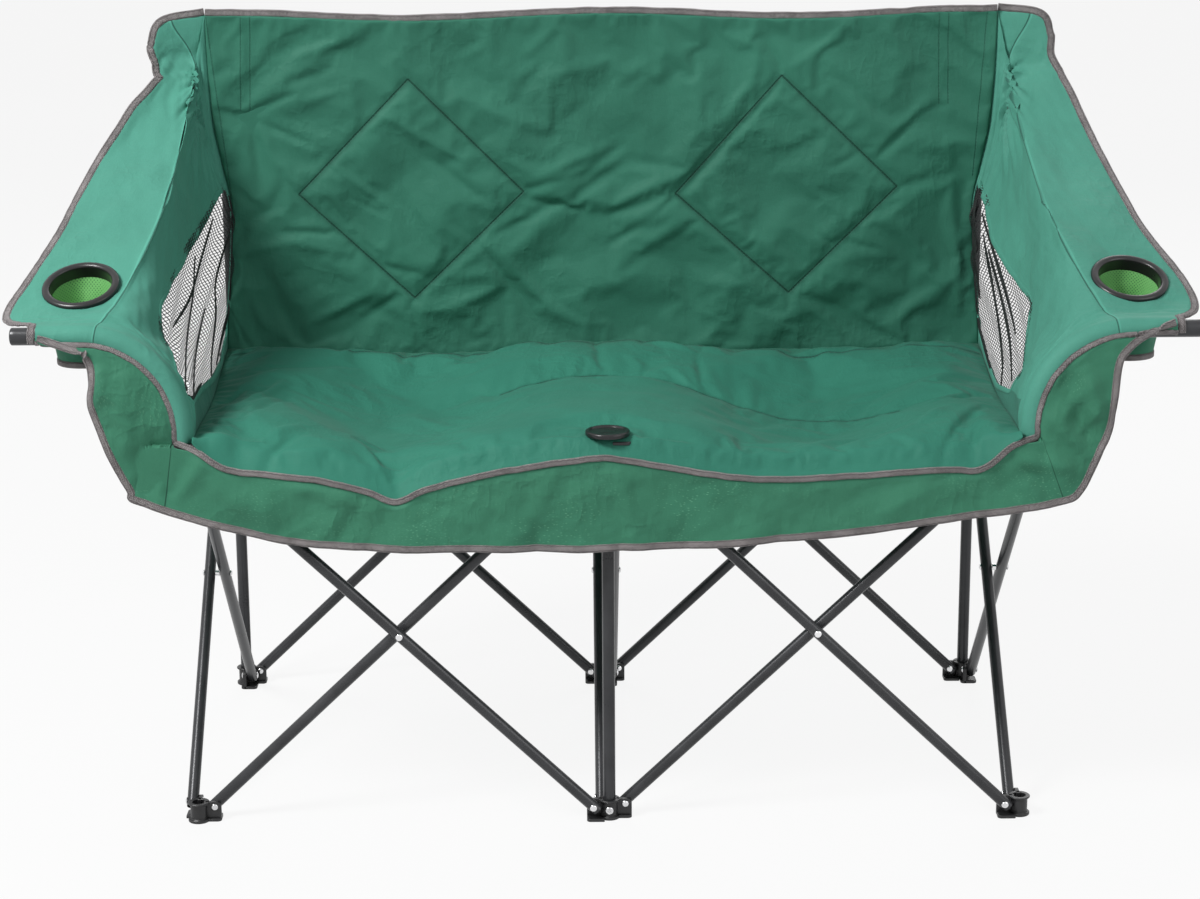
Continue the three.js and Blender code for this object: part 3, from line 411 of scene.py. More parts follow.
def arm_stops(side, across):
    """Five places on each line of the arm panel: over the tube, behind it, half way back, at the
    gathers and at the rear edge. The crease parts the arm's top from its inner side."""
    across = np.asarray(across, float)
    top = across <= CREASE
    over = arm_wrap(side, across, 0.0)
    rows = [[0, 1.03, 0.07, 0.318], [0.3, 0.424, 0.06, 0.328]]
    table = station(side, np.minimum(across, CREASE), rows)
    edge = station(side, np.full_like(across, CREASE), rows)
    start = arm_wrap(side, np.full_like(across, CREASE), 0.0)
    fade = smooth(across, CREASE, 0.6)[..., None]
    behind = over + (edge - start) * (1 - fade) + np.array([0, 0.022, 0]) * fade
    behind = np.where(top[..., None], table, behind)
    middle_top = station(side, across, [[0, 0.81, 0.438, 0.508], [0.3, 0.229, 0.438, 0.525]])
    middle_side = station(side, across, [
        [0.3, 0.229, 0.438, 0.525], [0.5, 0.175, 0.453, 0.387], [0.75, 0.078, 0.464, 0.178],
        [1, 0, 0.47, 0],
    ])
    middle = np.where(top[..., None], middle_top, middle_side)
    height = (1 - across) / (1 - CREASE)
    seam = np.stack([
        side * (back_half(height) + 0.00145), np.full_like(across, SEAM_Y + 0.0015),
        SEAM_FOOT + (BACK_TOP - SEAM_FOOT) * height,
    ], -1)
    left = np.clip((0.8 - across) / 0.5, 0, None)
    gather = seam + np.stack([
        side * 0.09 * ARM_OUT * left, np.full_like(across, -0.045 * BAY), -0.19 * BACK_RISE * left,
    ], -1)
    rows = [[0, 0.41, 0.925, 0.824], [0.15, 0.29, 0.942, 0.818], [0.3, 0.18, 0.951, 0.812]]
    notch = station(side, across, rows)
    rows = [[0, 0.439, 0.943, 0.92], [0.15, 0.371, 0.953, 0.983], [0.3, 0.1015, 0.9835, 1]]
    wing = station(side, across, rows)
    third = np.where(top[..., None], notch, gather)
    last = np.where(top[..., None], wing, seam)
    low = smooth(across, 0.9, 1)[..., None]
    stops = [over, behind, middle, third, last]
    for stop in stops[1:4]:
        beside = stop[..., :1] * 0 + side * side_x(stop[..., 1:2])
        stop[..., :1] = stop[..., :1] * (1 - low) + beside * low
    return np.stack(stops, axis=-2)


def arm_surface(side, across, along, turn=WRAP_TURN):
    """The arm panel. along runs from -1 under the tube's front to 0 over it, then through the four
    stretches to 4 at the rear edge, each a cubic with slopes from its neighbours' spacing."""
    across, along = np.broadcast_arrays(np.asarray(across, float), np.asarray(along, float))
    stops = arm_stops(side, across)
    steps = np.linalg.norm(np.diff(stops, axis=-2), axis=-1) ** 0.5
    ahead = np.diff(stops, axis=-2) / steps[..., None]
    inner = (ahead[..., :-1, :] * steps[..., 1:, None] + ahead[..., 1:, :] * steps[..., :-1, None])
    inner = inner / (steps[..., :-1] + steps[..., 1:])[..., None]
    slopes = np.concatenate([ahead[..., :1, :], inner, ahead[..., -1:, :]], axis=-2)
    first = np.stack([0 * along, 1 + 0 * along, 0 * along], -1)
    slopes[..., 0, :] = first * np.linalg.norm(slopes[..., 0, :], axis=-1, keepdims=True)
    low = np.clip(np.floor(along), 0, 3).astype(int)
    share = np.clip(along - low, 0, 1)[..., None]

    def pick(values, index):
        spread = index[..., None, None].repeat(values.shape[-1], -1)
        return np.take_along_axis(values, spread, axis=-2)[..., 0, :]

    width = np.take_along_axis(steps, low[..., None], axis=-1)
    ends = (pick(stops, low), pick(slopes, low), pick(stops, low + 1), pick(slopes, low + 1))
    curve = cubic(share, width, *ends)
    wrap = arm_wrap(side, across, turn * np.clip(-along, 0, 1))
    return np.where((along < 0)[..., None], wrap, curve)


SEAT_FRONT_Y = FRONT - 0.026
SEAT_REAR_Y = BACK_REAR - 0.0053
SEAT_FRONT_LINE = [
    [-0.518, 0.511], [-0.500, 0.492], [-0.464, 0.474], [-0.440, 0.472], [-0.346, 0.459],
    [-0.295, 0.445], [-0.266, 0.4335], [-0.240, 0.445], [-0.184, 0.461], [-0.060, 0.483],
    [-0.004, 0.489], [0.040, 0.482], [0.190, 0.460], [0.302, 0.463], [0.440, 0.470],
    [0.464, 0.469], [0.480, 0.478], [0.495, 0.493], [0.517, 0.510],
]


def seat_half(y):
    """Half the seat's width, just inside the arm panels."""
    return side_x(y) - 0.0016


def seat_surface(x, y):
    """The seat's middle surface: level with the hubs at the back, hollow in each place, and drooping
    at the front to the line of its piping."""
    deep = np.clip((y - FRONT) / BAY, 0, 1)
    half = seat_half(y)
    hollow = bay_wave(x, half)
    level = HUB_TOP + 0.0028
    dip = (0.041 + (0.010 - 0.041) * deep) * hollow
    sag = 0.014 * np.sin(np.pi * deep) ** 2 * (1 + hollow)
    surface = level - dip - sag
    line = np.asarray(SEAT_FRONT_LINE)
    front = through(line[:, 0], line[:, 1], x * (SIDE_FRONT / half))
    lip = smooth(-y, -(FRONT + 0.16), -SEAT_FRONT_Y)
    nose = smooth(-y, -(FRONT - 0.004), -SEAT_FRONT_Y)
    target = front + 0.020 * (1 - nose)
    free = smooth(np.hypot(x, np.maximum(y - FRONT, 0)), 0.036, 0.09)
    free = free * smooth(half - np.abs(x), 0.024, 0.06) * (1 - nose) + nose
    return surface + (target - surface) * lip * free


def joined(*corners):
    """The straight stretches between corners that follow each other."""
    return list(zip(corners, corners[1:]))


DIAMONDS = [
    [(-0.270, 0.893), (-0.427, 0.732), (-0.267, 0.583), (-0.111, 0.734)],
    [(0.251, 0.895), (0.103, 0.730), (0.264, 0.587), (0.415, 0.738)],
]
BACK_SEAMS = [seam for corners in DIAMONDS for seam in joined(*corners, corners[0])]
POCKET_SEAMS = [
    ((0.469, 0.980), (0.472, 0.853)), ((0.482, 0.980), (0.485, 0.853)),
    ((-0.487, 0.980), (-0.492, 0.849)), ((-0.500, 0.980), (-0.505, 0.849)),
    ((0.536, 0.980), (0.522, 0.752)), ((-0.548, 0.980), (-0.522, 0.725)),
]
SEAT_SEAMS = [((-0.006, 0.106), (-0.143, 0.067)), ((-0.006, 0.106), (0.391, -0.036))]
REAR_SEAM = joined(
    (-0.530, 0.205), (-0.300, 0.225), (-0.130, 0.223), (0.0, 0.237), (0.100, 0.223), (0.200, 0.225),
    (0.400, 0.199), (0.530, 0.192),
)


# Finishes


class Wire:
    """One output socket. Reckoning with it adds Math nodes to its material."""

    def __init__(self, paint, socket):
        self.paint = paint
        self.socket = socket

    def reckon(self, operation, *values):
        return self.paint.node("ShaderNodeMath", {"operation": operation}, dict(enumerate(values)))

    def __add__(self, other):
        return self.reckon("ADD", self, other)

    def __radd__(self, other):
        return self.reckon("ADD", other, self)

    def __sub__(self, other):
        return self.reckon("SUBTRACT", self, other)

    def __rsub__(self, other):
        return self.reckon("SUBTRACT", other, self)

    def __mul__(self, other):
        return self.reckon("MULTIPLY", self, other)

    def __pow__(self, other):
        return self.reckon("POWER", self, other)

    def sine(self):
        return self.reckon("SINE", self)

    def size(self):
        return self.reckon("ABSOLUTE", self)

    def above(self, low, high):
        """0 below low and 1 above high, smoothly between them."""
        settings = {"interpolation_type": "SMOOTHSTEP"}
        return self.paint.node("ShaderNodeMapRange", settings, {0: self, 1: low, 2: high})

    def parts(self):
        """The three numbers of a vector."""
        return [self.paint.node("ShaderNodeSeparateXYZ", {}, {0: self}, give=k) for k in range(3)]


class Paint:
    """A material with one Principled shader, whose sockets are set by name."""

    def __init__(self, name, **constants):
        self.material = bpy.data.materials.new(name)
        self.material.use_nodes = True
        self.tree = self.material.node_tree
        self.shader = self.tree.nodes["Principled BSDF"]
        self.set(**constants)

    def set(self, **values):
        for name, value in values.items():
            self.fill(self.shader.inputs[name.replace("_", " ")], value)
        return self

    def fill(self, socket, value):
        if isinstance(value, Wire):
            self.tree.links.new(value.socket, socket)
        elif hasattr(value, "__len__") and socket.type == "RGBA" and len(value) == 3:
            socket.default_value = (*value, 1)
        else:
            socket.default_value = value

    def node(self, kind, settings=None, values=None, give=0):
        """Adds a node: its settings first, then its sockets. Gives one of its outputs."""
        made = self.tree.nodes.new(kind)
        for name, value in (settings or {}).items():
            setattr(made, name, value)
        for name, value in (values or {}).items():
            self.fill(made.inputs[name], value)
        return Wire(self, made.outputs[give])

    def place(self, output="Object"):
        """Object coordinates in metres, or the piece's own cloth coordinates with output UV."""
        return self.node("ShaderNodeTexCoord", give=output)

    def scaled(self, vector, sizes):
        values = {"Vector": vector, "Scale": sizes}
        return self.node("ShaderNodeMapping", {}, values)

    def noise(self, vector, scale, detail=3.0, roughness=0.55):
        values = {"Vector": vector, "Scale": scale, "Detail": detail, "Roughness": roughness}
        return self.node("ShaderNodeTexNoise", {}, values)

    def mix(self, share, first, second, blend="MIX"):
        """Share of the second colour in the first."""
        settings = {"data_type": "RGBA", "blend_type": blend}
        return self.node("ShaderNodeMix", settings, {0: share, 6: first, 7: second}, give=2)

    def dot(self, vector, direction):
        """How far a vector reaches along a direction."""
        values = {0: vector, 1: tuple(float(part) for part in direction)}
        return self.node("ShaderNodeVectorMath", {"operation": "DOT_PRODUCT"}, values, give=1)

    def bump(self, height, distance, strength=1.0, normal=None):
        values = {"Height": height, "Distance": distance, "Strength": strength}
        if normal is not None:
            values["Normal"] = normal
        return self.node("ShaderNodeBump", {}, values)


def darker(colour, share):
    """A colour times a share below one."""
    return tuple(part * share for part in colour)


def lighter(colour, share):
    """A colour times a share above one, with no part over white."""
    return tuple(min(1, part * share) for part in colour)


def threads(paint, place, pitch, long=9.0):
    """Plain weave: noise drawn out along each of two directions, so that slubs cross."""
    warp = paint.noise(paint.scaled(place, (1 / pitch, 1 / (pitch * long), 1 / pitch)), 1.0, 2.0)
    weft = paint.noise(paint.scaled(place, (1 / (pitch * long), 1 / pitch, 1 / pitch)), 1.0, 2.0)
    return warp, weft


def stitched(paint, place, ways, seams, width=0.0015):
    """Sewn seams between points of two of the object's coordinates. Gives a dark line where the distance
    square to a seam is small, stitches by a sine along it, and a wider band beside it for a painted shade
    of the valley that the seam draws in."""
    marks = None
    for (x0, z0), (x1, z1) in seams:
        length = math.hypot(x1 - x0, z1 - z0)
        ahead = np.array([x1 - x0, z1 - z0]) / length
        square = np.array([ahead[1], -ahead[0]])
        spot = np.array([x0, z0])
        along = paint.dot(place, ahead @ ways) - float(ahead @ spot)
        aside = (paint.dot(place, square @ ways) - float(square @ spot)).size()
        within = along.above(-0.001, 0.0005) * (1 - along.above(length - 0.0005, length + 0.001))
        here = (1 - aside.above(width * 0.35, width)) * within
        dashes = here * (along * (TURN / 0.0046)).sine().above(-0.4, 0.2)
        # the band of painted valley shade, out to 8 mm on each side of the seam
        drawn = (1 - aside.above(0.0006, 0.0080)) * within
        found = [here, dashes, drawn]
        marks = found if marks is None else [a.reckon("MAXIMUM", a, b) for a, b in zip(marks, found)]
    return marks


def crumpled(paint, place, size):
    """Sharp-ridged creases of stiff cloth: one minus the distance of a noise from its middle value,
    stretched one way and then the other, where a slower noise lets them show."""
    first = paint.noise(paint.scaled(place, (1.0, 2.2, 1.6)), 1 / size, 3.0, 0.5)
    second = paint.noise(paint.scaled(place, (1.9, 1.0, 0.8)), 1.4 / size, 2.0, 0.5)
    ridge = 1 - ((first - 0.5) * 2).size()
    cross = 1 - ((second - 0.5) * 2).size()
    where = paint.noise(place, 0.45 / size, 1.0).above(0.40, 0.66)
    return (ridge**3.0 * 0.7 + cross**4.0 * 0.5) * (0.25 + where * 0.75)


def cloth_finish(name, colour, place="UV", spin=None, fleck=0.10, mottle=0.16, crease=0.0015,
                 seams=None, fine_seams=None, rear=None, panel=None):
    """Coated canvas: crossing slubs, a slow change of tone, soft creases and a faint sheen. seams are
    drawn as sewn lines with painted shade in the valley beside them, fine_seams as faint lines. rear is
    the colour of the painted shade that the seat takes toward the back, under the back pad. panel is the
    share of an arm panel at which its crease is stitched; a painted highlight runs beside the stitch on
    the arm's top, and below the window a strip has painted shade."""
    paint = Paint(name, Roughness=0.62, Sheen_Weight=0.05, Sheen_Roughness=0.45, Specular_IOR_Level=0.14)
    spot = paint.place(place)
    if spin is not None:
        spot = paint.node("ShaderNodeMapping", {}, {"Vector": spot, "Rotation": spin})
    warp, weft = threads(paint, spot, 0.0011)
    weave = warp * 0.5 + weft * 0.5
    patch = paint.noise(paint.place(), 7.0, 4.0)
    tone = (weave - 0.5) * (2 * fleck) + (patch - 0.5) * (2 * mottle) + 1.0
    dark = darker(colour, 0.62)
    light = lighter(colour, 1.38)
    base = paint.mix(tone.above(0.55, 1.45), dark, light)
    creases = crumpled(paint, paint.place(), 0.055)
    normal = paint.bump(creases, crease, 0.8)
    if seams:
        ways, lines = seams
        line, stitch, valley = stitched(paint, paint.place(), ways, lines)
        # Painted shade: the seat darkens toward its rear edge, where the back pad overhangs it.
        if rear:
            behind = paint.place().parts()[1].above(0.208, 0.240)
            base = paint.mix(behind * 0.8, base, rear)
        pucker = paint.noise(paint.place(), 75.0, 2.0).above(0.30, 0.62)
        # painted shade in the valley beside each seam, patchier where the cloth puckers
        base = paint.mix(valley * (0.12 + pucker * 0.30), base, darker(colour, 0.35))
        base = paint.mix(line * 0.42 + stitch * 0.25, base, darker(colour, 0.15))
        normal = paint.bump(1 - line, 0.0014, 0.9, normal)
    if fine_seams:
        line, stitch, _ = stitched(paint, paint.place(), ways, fine_seams, 0.0011)
        base = paint.mix(line * 0.16 + stitch * 0.22, base, darker(colour, 0.15))
        normal = paint.bump(1 - line, 0.0007, 0.8, normal)
    if panel:
        across, along, _ = paint.node("ShaderNodeUVMap", {"uv_map": "panel"}).parts()
        aside = across - (panel - along.above(3.0, 4.0) * 0.11)
        line = 1 - aside.size().above(0.0012, 0.0034)
        # Painted highlight along the arm's top, just beside the crease stitch.
        lit = 1 - (aside + 0.0080).size().above(0.0015, 0.0042)
        # Painted shade on the strip of the arm panel between the window and the seat.
        shaded_strip = (across - along * 0.0876 - 0.764).above(0.0, 0.004) * along.above(0.95, 1.0)
        shaded_strip = shaded_strip * (across - 0.5).above(0.30, 0.31)
        base = paint.mix(line * 0.6, base, darker(colour, 0.15))
        base = paint.mix(lit * 0.22, base, lighter(colour, 2.0))
        base = paint.mix(shaded_strip * 0.55, base, darker(colour, 0.32))
        normal = paint.bump(1 - line, 0.0010, 0.9, normal)
    paint.set(Base_Color=base, Normal=paint.bump(weave, 0.0005, 0.55, normal))
    return paint


UPRIGHT = np.array([[1.0, 0, 0], [0, 0, 1.0]])
LEVEL = np.array([[1.0, 0, 0], [0, 1.0, 0]])
# One canvas in three copies, as painted light and shade: the arms' copy is lighter, the seat's darker and
# the back's darkest.
cloth = cloth_finish("green_canvas", (0.078, 0.289, 0.218), panel=CREASE).material
seat_cloth = cloth_finish(
    "green_canvas_seat_shaded", (0.033, 0.184, 0.129), "Object", seams=(LEVEL, SEAT_SEAMS + REAR_SEAM),
    # the colour of the painted shade under the back pad
    rear=(0.030, 0.140, 0.094),
).material
back_cloth = cloth_finish(
    "green_canvas_back_shaded", (0.035, 0.160, 0.108), "Object", (math.pi / 2, 0, 0),
    seams=(UPRIGHT, BACK_SEAMS), fine_seams=POCKET_SEAMS,
).material


def skirt_finish():
    """Thin ripstop: the canvas with pale short flecks in staggered rows, in patches, and two seams."""
    paint = cloth_finish("ripstop_skirt", (0.044, 0.186, 0.113), fleck=0.12, mottle=0.14, crease=0.0022)
    place = paint.place("UV")
    spots = paint.node(
        "ShaderNodeTexVoronoi", {"feature": "F1"},
        {"Vector": paint.scaled(place, (1.0, 2.4, 1.0)), "Scale": 170.0, "Randomness": 0.6},
    )
    fleck = 1 - spots.above(0.10, 0.34)
    lit = fleck * paint.noise(place, 9.0, 2.0).above(0.44, 0.72)
    base = Wire(paint, paint.shader.inputs["Base Color"].links[0].from_socket)
    base = paint.mix(lit * 0.6, base, (0.16, 0.42, 0.26))
    across = paint.node("ShaderNodeUVMap", {"uv_map": "panel"}).parts()[0]
    for share in (0.985, 2.02):
        line = 1 - (across - share).size().above(0.0005, 0.0014)
        base = paint.mix(line * 0.75, base, (0.008, 0.035, 0.022))
    paint.set(Base_Color=base)
    return paint.material


def binding_finish(name, colour):
    """Folded tape: a herringbone that turns at the tape's middle, a wavy stitch along each edge, and
    worn pale patches. Its cloth coordinates are the length along it and the width across."""
    paint = Paint(name, Roughness=0.82, Sheen_Weight=0.2, Specular_IOR_Level=0.22)
    along, across, _ = paint.place("UV").parts()
    middle = (across - 0.0048).size()
    bone = ((along + middle * 1.3) * (TURN / 0.0031)).sine()
    stray = paint.noise(paint.place(), 380.0, 3.0)
    patch = paint.noise(paint.place(), 40.0, 4.0)
    wander = (along * (TURN / 0.0075)).sine() * 0.0004
    line = 1 - (middle - 0.0034 + wander).size().above(0.0002, 0.0008)
    tone = bone * 0.22 + stray * 0.9 + patch * 0.7 - 0.3
    dark = darker(colour, 0.42)
    light = lighter(colour, 1.85)
    base = paint.mix(tone.above(0.05, 0.95), dark, light)
    base = paint.mix(line * 0.7, base, darker(colour, 0.22))
    paint.set(Base_Color=base, Normal=paint.bump(bone * 0.5 + stray - line, 0.0007, 0.8))
    return paint.material


def net_finish(name, thread, tint, pitches, bar, slant=False):
    """A knitted net: two sets of threads, clear between them. The threads run square to the cloth
    coordinates, or slant across them. Where the size of a sine is below bar, there is thread."""
    paint = Paint(name, Roughness=0.7, Specular_IOR_Level=0.3)
    across, along, _ = paint.place("UV").parts()
    if slant:
        across, along = across + along, across - along
    first = (across * (math.pi / pitches[0])).sine().size()
    second = (along * (math.pi / pitches[1])).sine().size()
    nearest = first.reckon("MINIMUM", first, second)
    thick = 1 - nearest.above(bar - 0.12, bar + 0.12)
    patch = paint.noise(paint.place(), 30.0, 3.0)
    paint.set(Base_Color=paint.mix(patch, thread, tint), Alpha=thick)
    paint.set(Normal=paint.bump(thick, 0.0006, 0.6))
    return paint.material


def fold_finish(name, thread, tint):
    """Doubled net: close dark threads with small gaps that show only as a change of tone."""
    paint = Paint(name, Roughness=0.75, Specular_IOR_Level=0.25)
    along, across, _ = paint.place("UV").parts()
    rows = (along * (math.pi / 0.0022)).sine().size() * (across * (math.pi / 0.0016)).sine().size()
    stray = paint.noise(paint.place(), 300.0, 3.0)
    paint.set(Base_Color=paint.mix((rows * 0.6 + stray * 0.5).above(0.35, 0.95), thread, tint))
    paint.set(Normal=paint.bump(rows, 0.0005, 0.7))
    return paint.material


def hard_finish(name, colour, rough, metal=0.0, coat=0.0, grain=400.0, depth=0.00008, level=0.5):
    """Paint, metal or moulded plastic: fine grain, and roughness that changes slowly."""
    paint = Paint(name, Metallic=metal, Coat_Weight=coat, Coat_Roughness=0.18, Specular_IOR_Level=level)
    place = paint.place()
    fine = paint.noise(place, grain, 3.0)
    slow = paint.noise(place, 18.0, 3.0)
    dark = darker(colour, 0.82)
    light = lighter(colour, 1.18)
    paint.set(
        Base_Color=paint.mix(slow.above(0.3, 0.7), dark, light),
        Roughness=rough + (slow - 0.5) * 0.12 + (fine - 0.5) * 0.08,
        Normal=paint.bump(fine, depth, 0.5),
    )
    return paint.material


skirt_cloth = skirt_finish()
binding_tape = binding_finish("grey_binding", (0.185, 0.170, 0.170))
arm_net = net_finish(
    "black_net", (0.012, 0.013, 0.013), tint=(0.05, 0.055, 0.055), pitches=(0.0090, 0.0033), bar=0.31,
)
net_fold = fold_finish("doubled_net", (0.006, 0.007, 0.007), tint=(0.07, 0.075, 0.075))
pouch_net = net_finish(
    "green_net", (0.10, 0.36, 0.09), tint=(0.24, 0.60, 0.21), pitches=(0.0036, 0.0036), bar=0.84,
    slant=True,
)
BLACK = (0.012, 0.012, 0.013)
tube_paint = hard_finish(
    "charcoal_paint", (0.042, 0.043, 0.046), rough=0.30, metal=0.25, coat=0.14, level=0.25,
)
plastic = hard_finish("black_moulding", BLACK, rough=0.42, grain=900.0, depth=0.0001)
gloss = hard_finish("black_gloss", BLACK, rough=0.30, coat=0.12, level=0.35)
chrome = hard_finish("bright_steel", (0.72, 0.72, 0.73), rough=0.20, metal=1.0)


# Frame

# Each stand's place, and the quarter turns from X at which its foot has lugs
STANDS = {
    "front_left": (-BAY, FRONT, (0, 1)),
    "front_centre": (0.0, FRONT, (2, 0, 1)),
    "front_right": (BAY, FRONT, (2, 1)),
    "rear_left": (-BAY, REAR, (0, 3)),
    "rear_centre": (0.0, REAR, (2, 0, 3)),
    "rear_right": (BAY, REAR, (2, 3)),
}
BAYS = {
    "front_left": ("front_left", "front_centre"),
    "front_right": ("front_centre", "front_right"),
    "rear_left": ("rear_left", "rear_centre"),
    "rear_right": ("rear_centre", "rear_right"),
    "side_left": ("front_left", "rear_left"),
    "side_centre": ("front_centre", "rear_centre"),
    "side_right": ("front_right", "rear_right"),
}
SPAN = BAY - 2 * REACH
RISE = PIN_HIGH - PIN_LOW
TUBE_LENGTH = math.hypot(SPAN, RISE)
TILT = math.atan2(RISE, SPAN)


def body_of(node):
    """The moving body that carries a CAD node."""
    for name, body in frame["record"]["behaviour"]["bodies"].items():
        if node in body:
            return name
    raise KeyError(node)


def slab(outline, height, bend=0.0007):
    """A plate: rings of its outline from the middle of one face, out to the rim drawn in by the bend,
    over the rounded edge, and back to the middle of the other face."""
    outline = np.asarray(outline, float)
    outline = np.concatenate([outline, outline[:1]])
    middle = outline[:-1].mean(axis=0)
    size = np.abs(outline[:-1] - middle).max()
    rings = [(0.0, 0.0)]
    for a in np.linspace(0, np.pi / 2, 4):
        rings.append((1 - bend * (1 - math.sin(a)) / size, bend * (1 - math.cos(a))))
    for a in np.linspace(np.pi / 2, 0, 4):
        rings.append((1 - bend * (1 - math.sin(a)) / size, height - bend * (1 - math.cos(a))))
    rings.append((0.0, height))
    rows = []
    for share, level in rings:
        flat = middle + (outline - middle) * share
        rows.append(np.column_stack([flat, np.full(len(flat), level)]))
    return np.array(rows)


def turned_about_z(grid, quarters):
    """A grid turned by quarter turns about Z."""
    c, s = round(math.cos(quarters * math.pi / 2)), round(math.sin(quarters * math.pi / 2))
    return grid @ np.array([[c, -s, 0], [s, c, 0], [0, 0, 1]]).T


def rounded(x0, x1, z0, z1, corners):
    """An oblong outline with its own radius at each corner, in order round from low-low."""
    marks = [
        (x0, z0, 1, 1, math.pi), (x1, z0, -1, 1, 1.5 * math.pi),
        (x1, z1, -1, -1, 0), (x0, z1, 1, -1, 0.5 * math.pi),
    ]
    spots = []
    for (x, z, right, up, start), radius in zip(marks, corners):
        centre_x, centre_z = x + right * radius, z + up * radius
        for a in start + np.linspace(0, np.pi / 2, 7 if radius > 0.0006 else 2):
            spots.append((centre_x + radius * math.cos(a), centre_z + radius * math.sin(a)))
    return np.array(spots)


def moulding(name, place, lugs, through_socket, upside_down):
    """A foot or hub: a flanged socket turned from its profile, and for each lug an upright plate, a
    sole under its tube and a thin round boss on the plate's face at its pivot."""
    piece = Piece(name)
    top, base, wall, flange, bore = 0.026, 0.004, 0.011, 0.014, 0.0084
    edge = 0.0006
    profile = [
        (bore, 0.0) if through_socket else (0.0, 0.0), (flange - edge, 0.0), (flange, edge),
        (flange, base - edge), (flange - edge, base), (wall + 0.0008, base), (wall, base + 0.0008),
        (wall, top - 0.0033), (wall + 0.0008, top - 0.0025), (flange - edge, top - 0.0025),
        (flange, top - 0.0025 + edge), (flange, top - edge), (flange - edge, top), (bore + edge, top),
        (bore, top - edge), (bore, 0.0 if through_socket else base),
    ]
    if not through_socket:
        profile.append((0.0, base))
    grids = [lathe((0, 0, 0), (0, 0, 1), profile, around=40)]
    plate = rounded(0.0065, 0.029, 0.0002, top, (0.0005, 0.0005, 0.006, 0.0005))
    upright = slab(plate, 0.005)
    upright = np.stack([upright[..., 0], 0.0025 - upright[..., 2], upright[..., 1]], -1)
    sole = slab(rounded(0.0062, 0.029, -0.0055, 0.0178, (0.0005, 0.005, 0.005, 0.0005)), base)
    boss_line = [(0, 0), (0.0058, 0), (0.0056, 0.0001), (0, 0.0001)]
    boss = lathe((REACH, -0.0025, PIN_LOW), (0, -1, 0), boss_line, around=24)
    grids += [turned_about_z(grid, quarters) for quarters in lugs for grid in (upright, sole, boss)]
    for grid in grids:
        if upside_down:
            grid = grid * np.array([1, -1, -1]) + np.array([0, 0, HUB_TOP])
        piece.add(grid + np.array([*place, 0]))
    return piece.make([plastic], sharp=40)


def rivet(piece, start, axis, length, finish=1):
    """A rivet's shank with a domed head at each end."""
    start, axis = np.asarray(start, float), unit(np.asarray(axis, float))
    piece.add(dome(start, -axis, radius=0.0046, height=0.0021), finish)
    piece.add(dome(start + axis * length, axis, radius=0.0046, height=0.0021), finish)
    piece.add(rod(start, axis, 0.0019, length), finish)


def feet_and_hubs():
    """A foot and a hub at each stand. The post or arm tube runs through every hub but the front one in
    the middle. A hub is upside down, so its quarter turns run the other way."""
    for name, (x, y, lugs) in STANDS.items():
        foot = moulding(f"moulded_foot_{name}", (x, y), lugs, through_socket=False, upside_down=False)
        stand(foot, body_of(f"foot_{name}"), f"foot_{name}", slot="moulding")
        flipped = tuple((4 - q) % 4 for q in lugs)
        open_hub = name != "front_centre"
        hub = moulding(f"moulded_hub_{name}", (x, y), flipped, through_socket=open_hub, upside_down=True)
        stand(hub, body_of(f"hub_{name}"), f"hub_{name}", slot="moulding")


def crossed_tubes():
    """In each bay a rising and a falling tube, riveted to the lugs at both ends, and a pin where they
    cross."""
    for name, (first, second) in BAYS.items():
        start = np.array([*STANDS[first][:2], 0.0])
        end = np.array([*STANDS[second][:2], 0.0])
        ahead = unit(end - start)
        left = np.array([-ahead[1], ahead[0], 0.0])
        middle = (start + end) / 2 + np.array([0, 0, (PIN_LOW + PIN_HIGH) / 2])
        for kind, way in (("rising", 1), ("falling", -1)):
            along = ahead * math.cos(TILT) + np.array([0, 0, way * math.sin(TILT)])
            centre = middle + left * way * TUBE_OFFSET
            half = TUBE_LENGTH / 2 + 0.008
            piece = Piece(f"bar_{name}_{kind}")
            piece.add(open_tube(centre - along * half, centre + along * half, TUBE_R, 0.001))
            for side in (-1, 1):
                pin = centre + along * side * TUBE_LENGTH / 2 + left * way * TUBE_R
                rivet(piece, pin, -left * way, 0.0206)
            node = f"tube_{name}_{kind}"
            stand(piece.make([tube_paint, chrome]), body_of(node), node, slot="tube")
        piece = Piece(f"pin_{name}")
        reach = TUBE_OFFSET + TUBE_R + 0.0003
        rivet(piece, middle - left * reach, left, 2 * reach, finish=0)
        piece.add(rod(middle - left * 0.0024, left, 0.0044, 0.0048, around=20))
        node = f"pivot_{name}"
        stand(piece.make([chrome]), body_of(node), node, slot="rivet")


def screw_head(seat, out, radius=0.0054, height=0.0022):
    """A pan head: height * sqrt(1 - (r / radius)^4), less a cross-shaped recess of two slots, each of
    which fades as exp(-(d / 0.0007)^4) with the distance d from its middle line."""
    reach = np.linspace(0, 1, 22)[:, None]
    turn = np.linspace(0, TURN, 49)[None, :]
    across, up = radius * reach * np.cos(turn), radius * reach * np.sin(turn)
    crown = height * np.sqrt(np.clip(1 - reach**4, 0, 1)) + 0 * turn
    slots = np.maximum(np.exp(-(across / 0.0007) ** 4), np.exp(-(up / 0.0007) ** 4))
    crown = crown - 0.0012 * slots * smooth(-np.hypot(across, up), -0.0036, -0.0028)
    side = np.array([1.0, 0, 0])
    up_way = np.cross(out, side)
    grid = seat + across[..., None] * side + up[..., None] * up_way + crown[..., None] * out
    foot = seat + 0 * grid[:1]
    return np.concatenate([grid, foot])


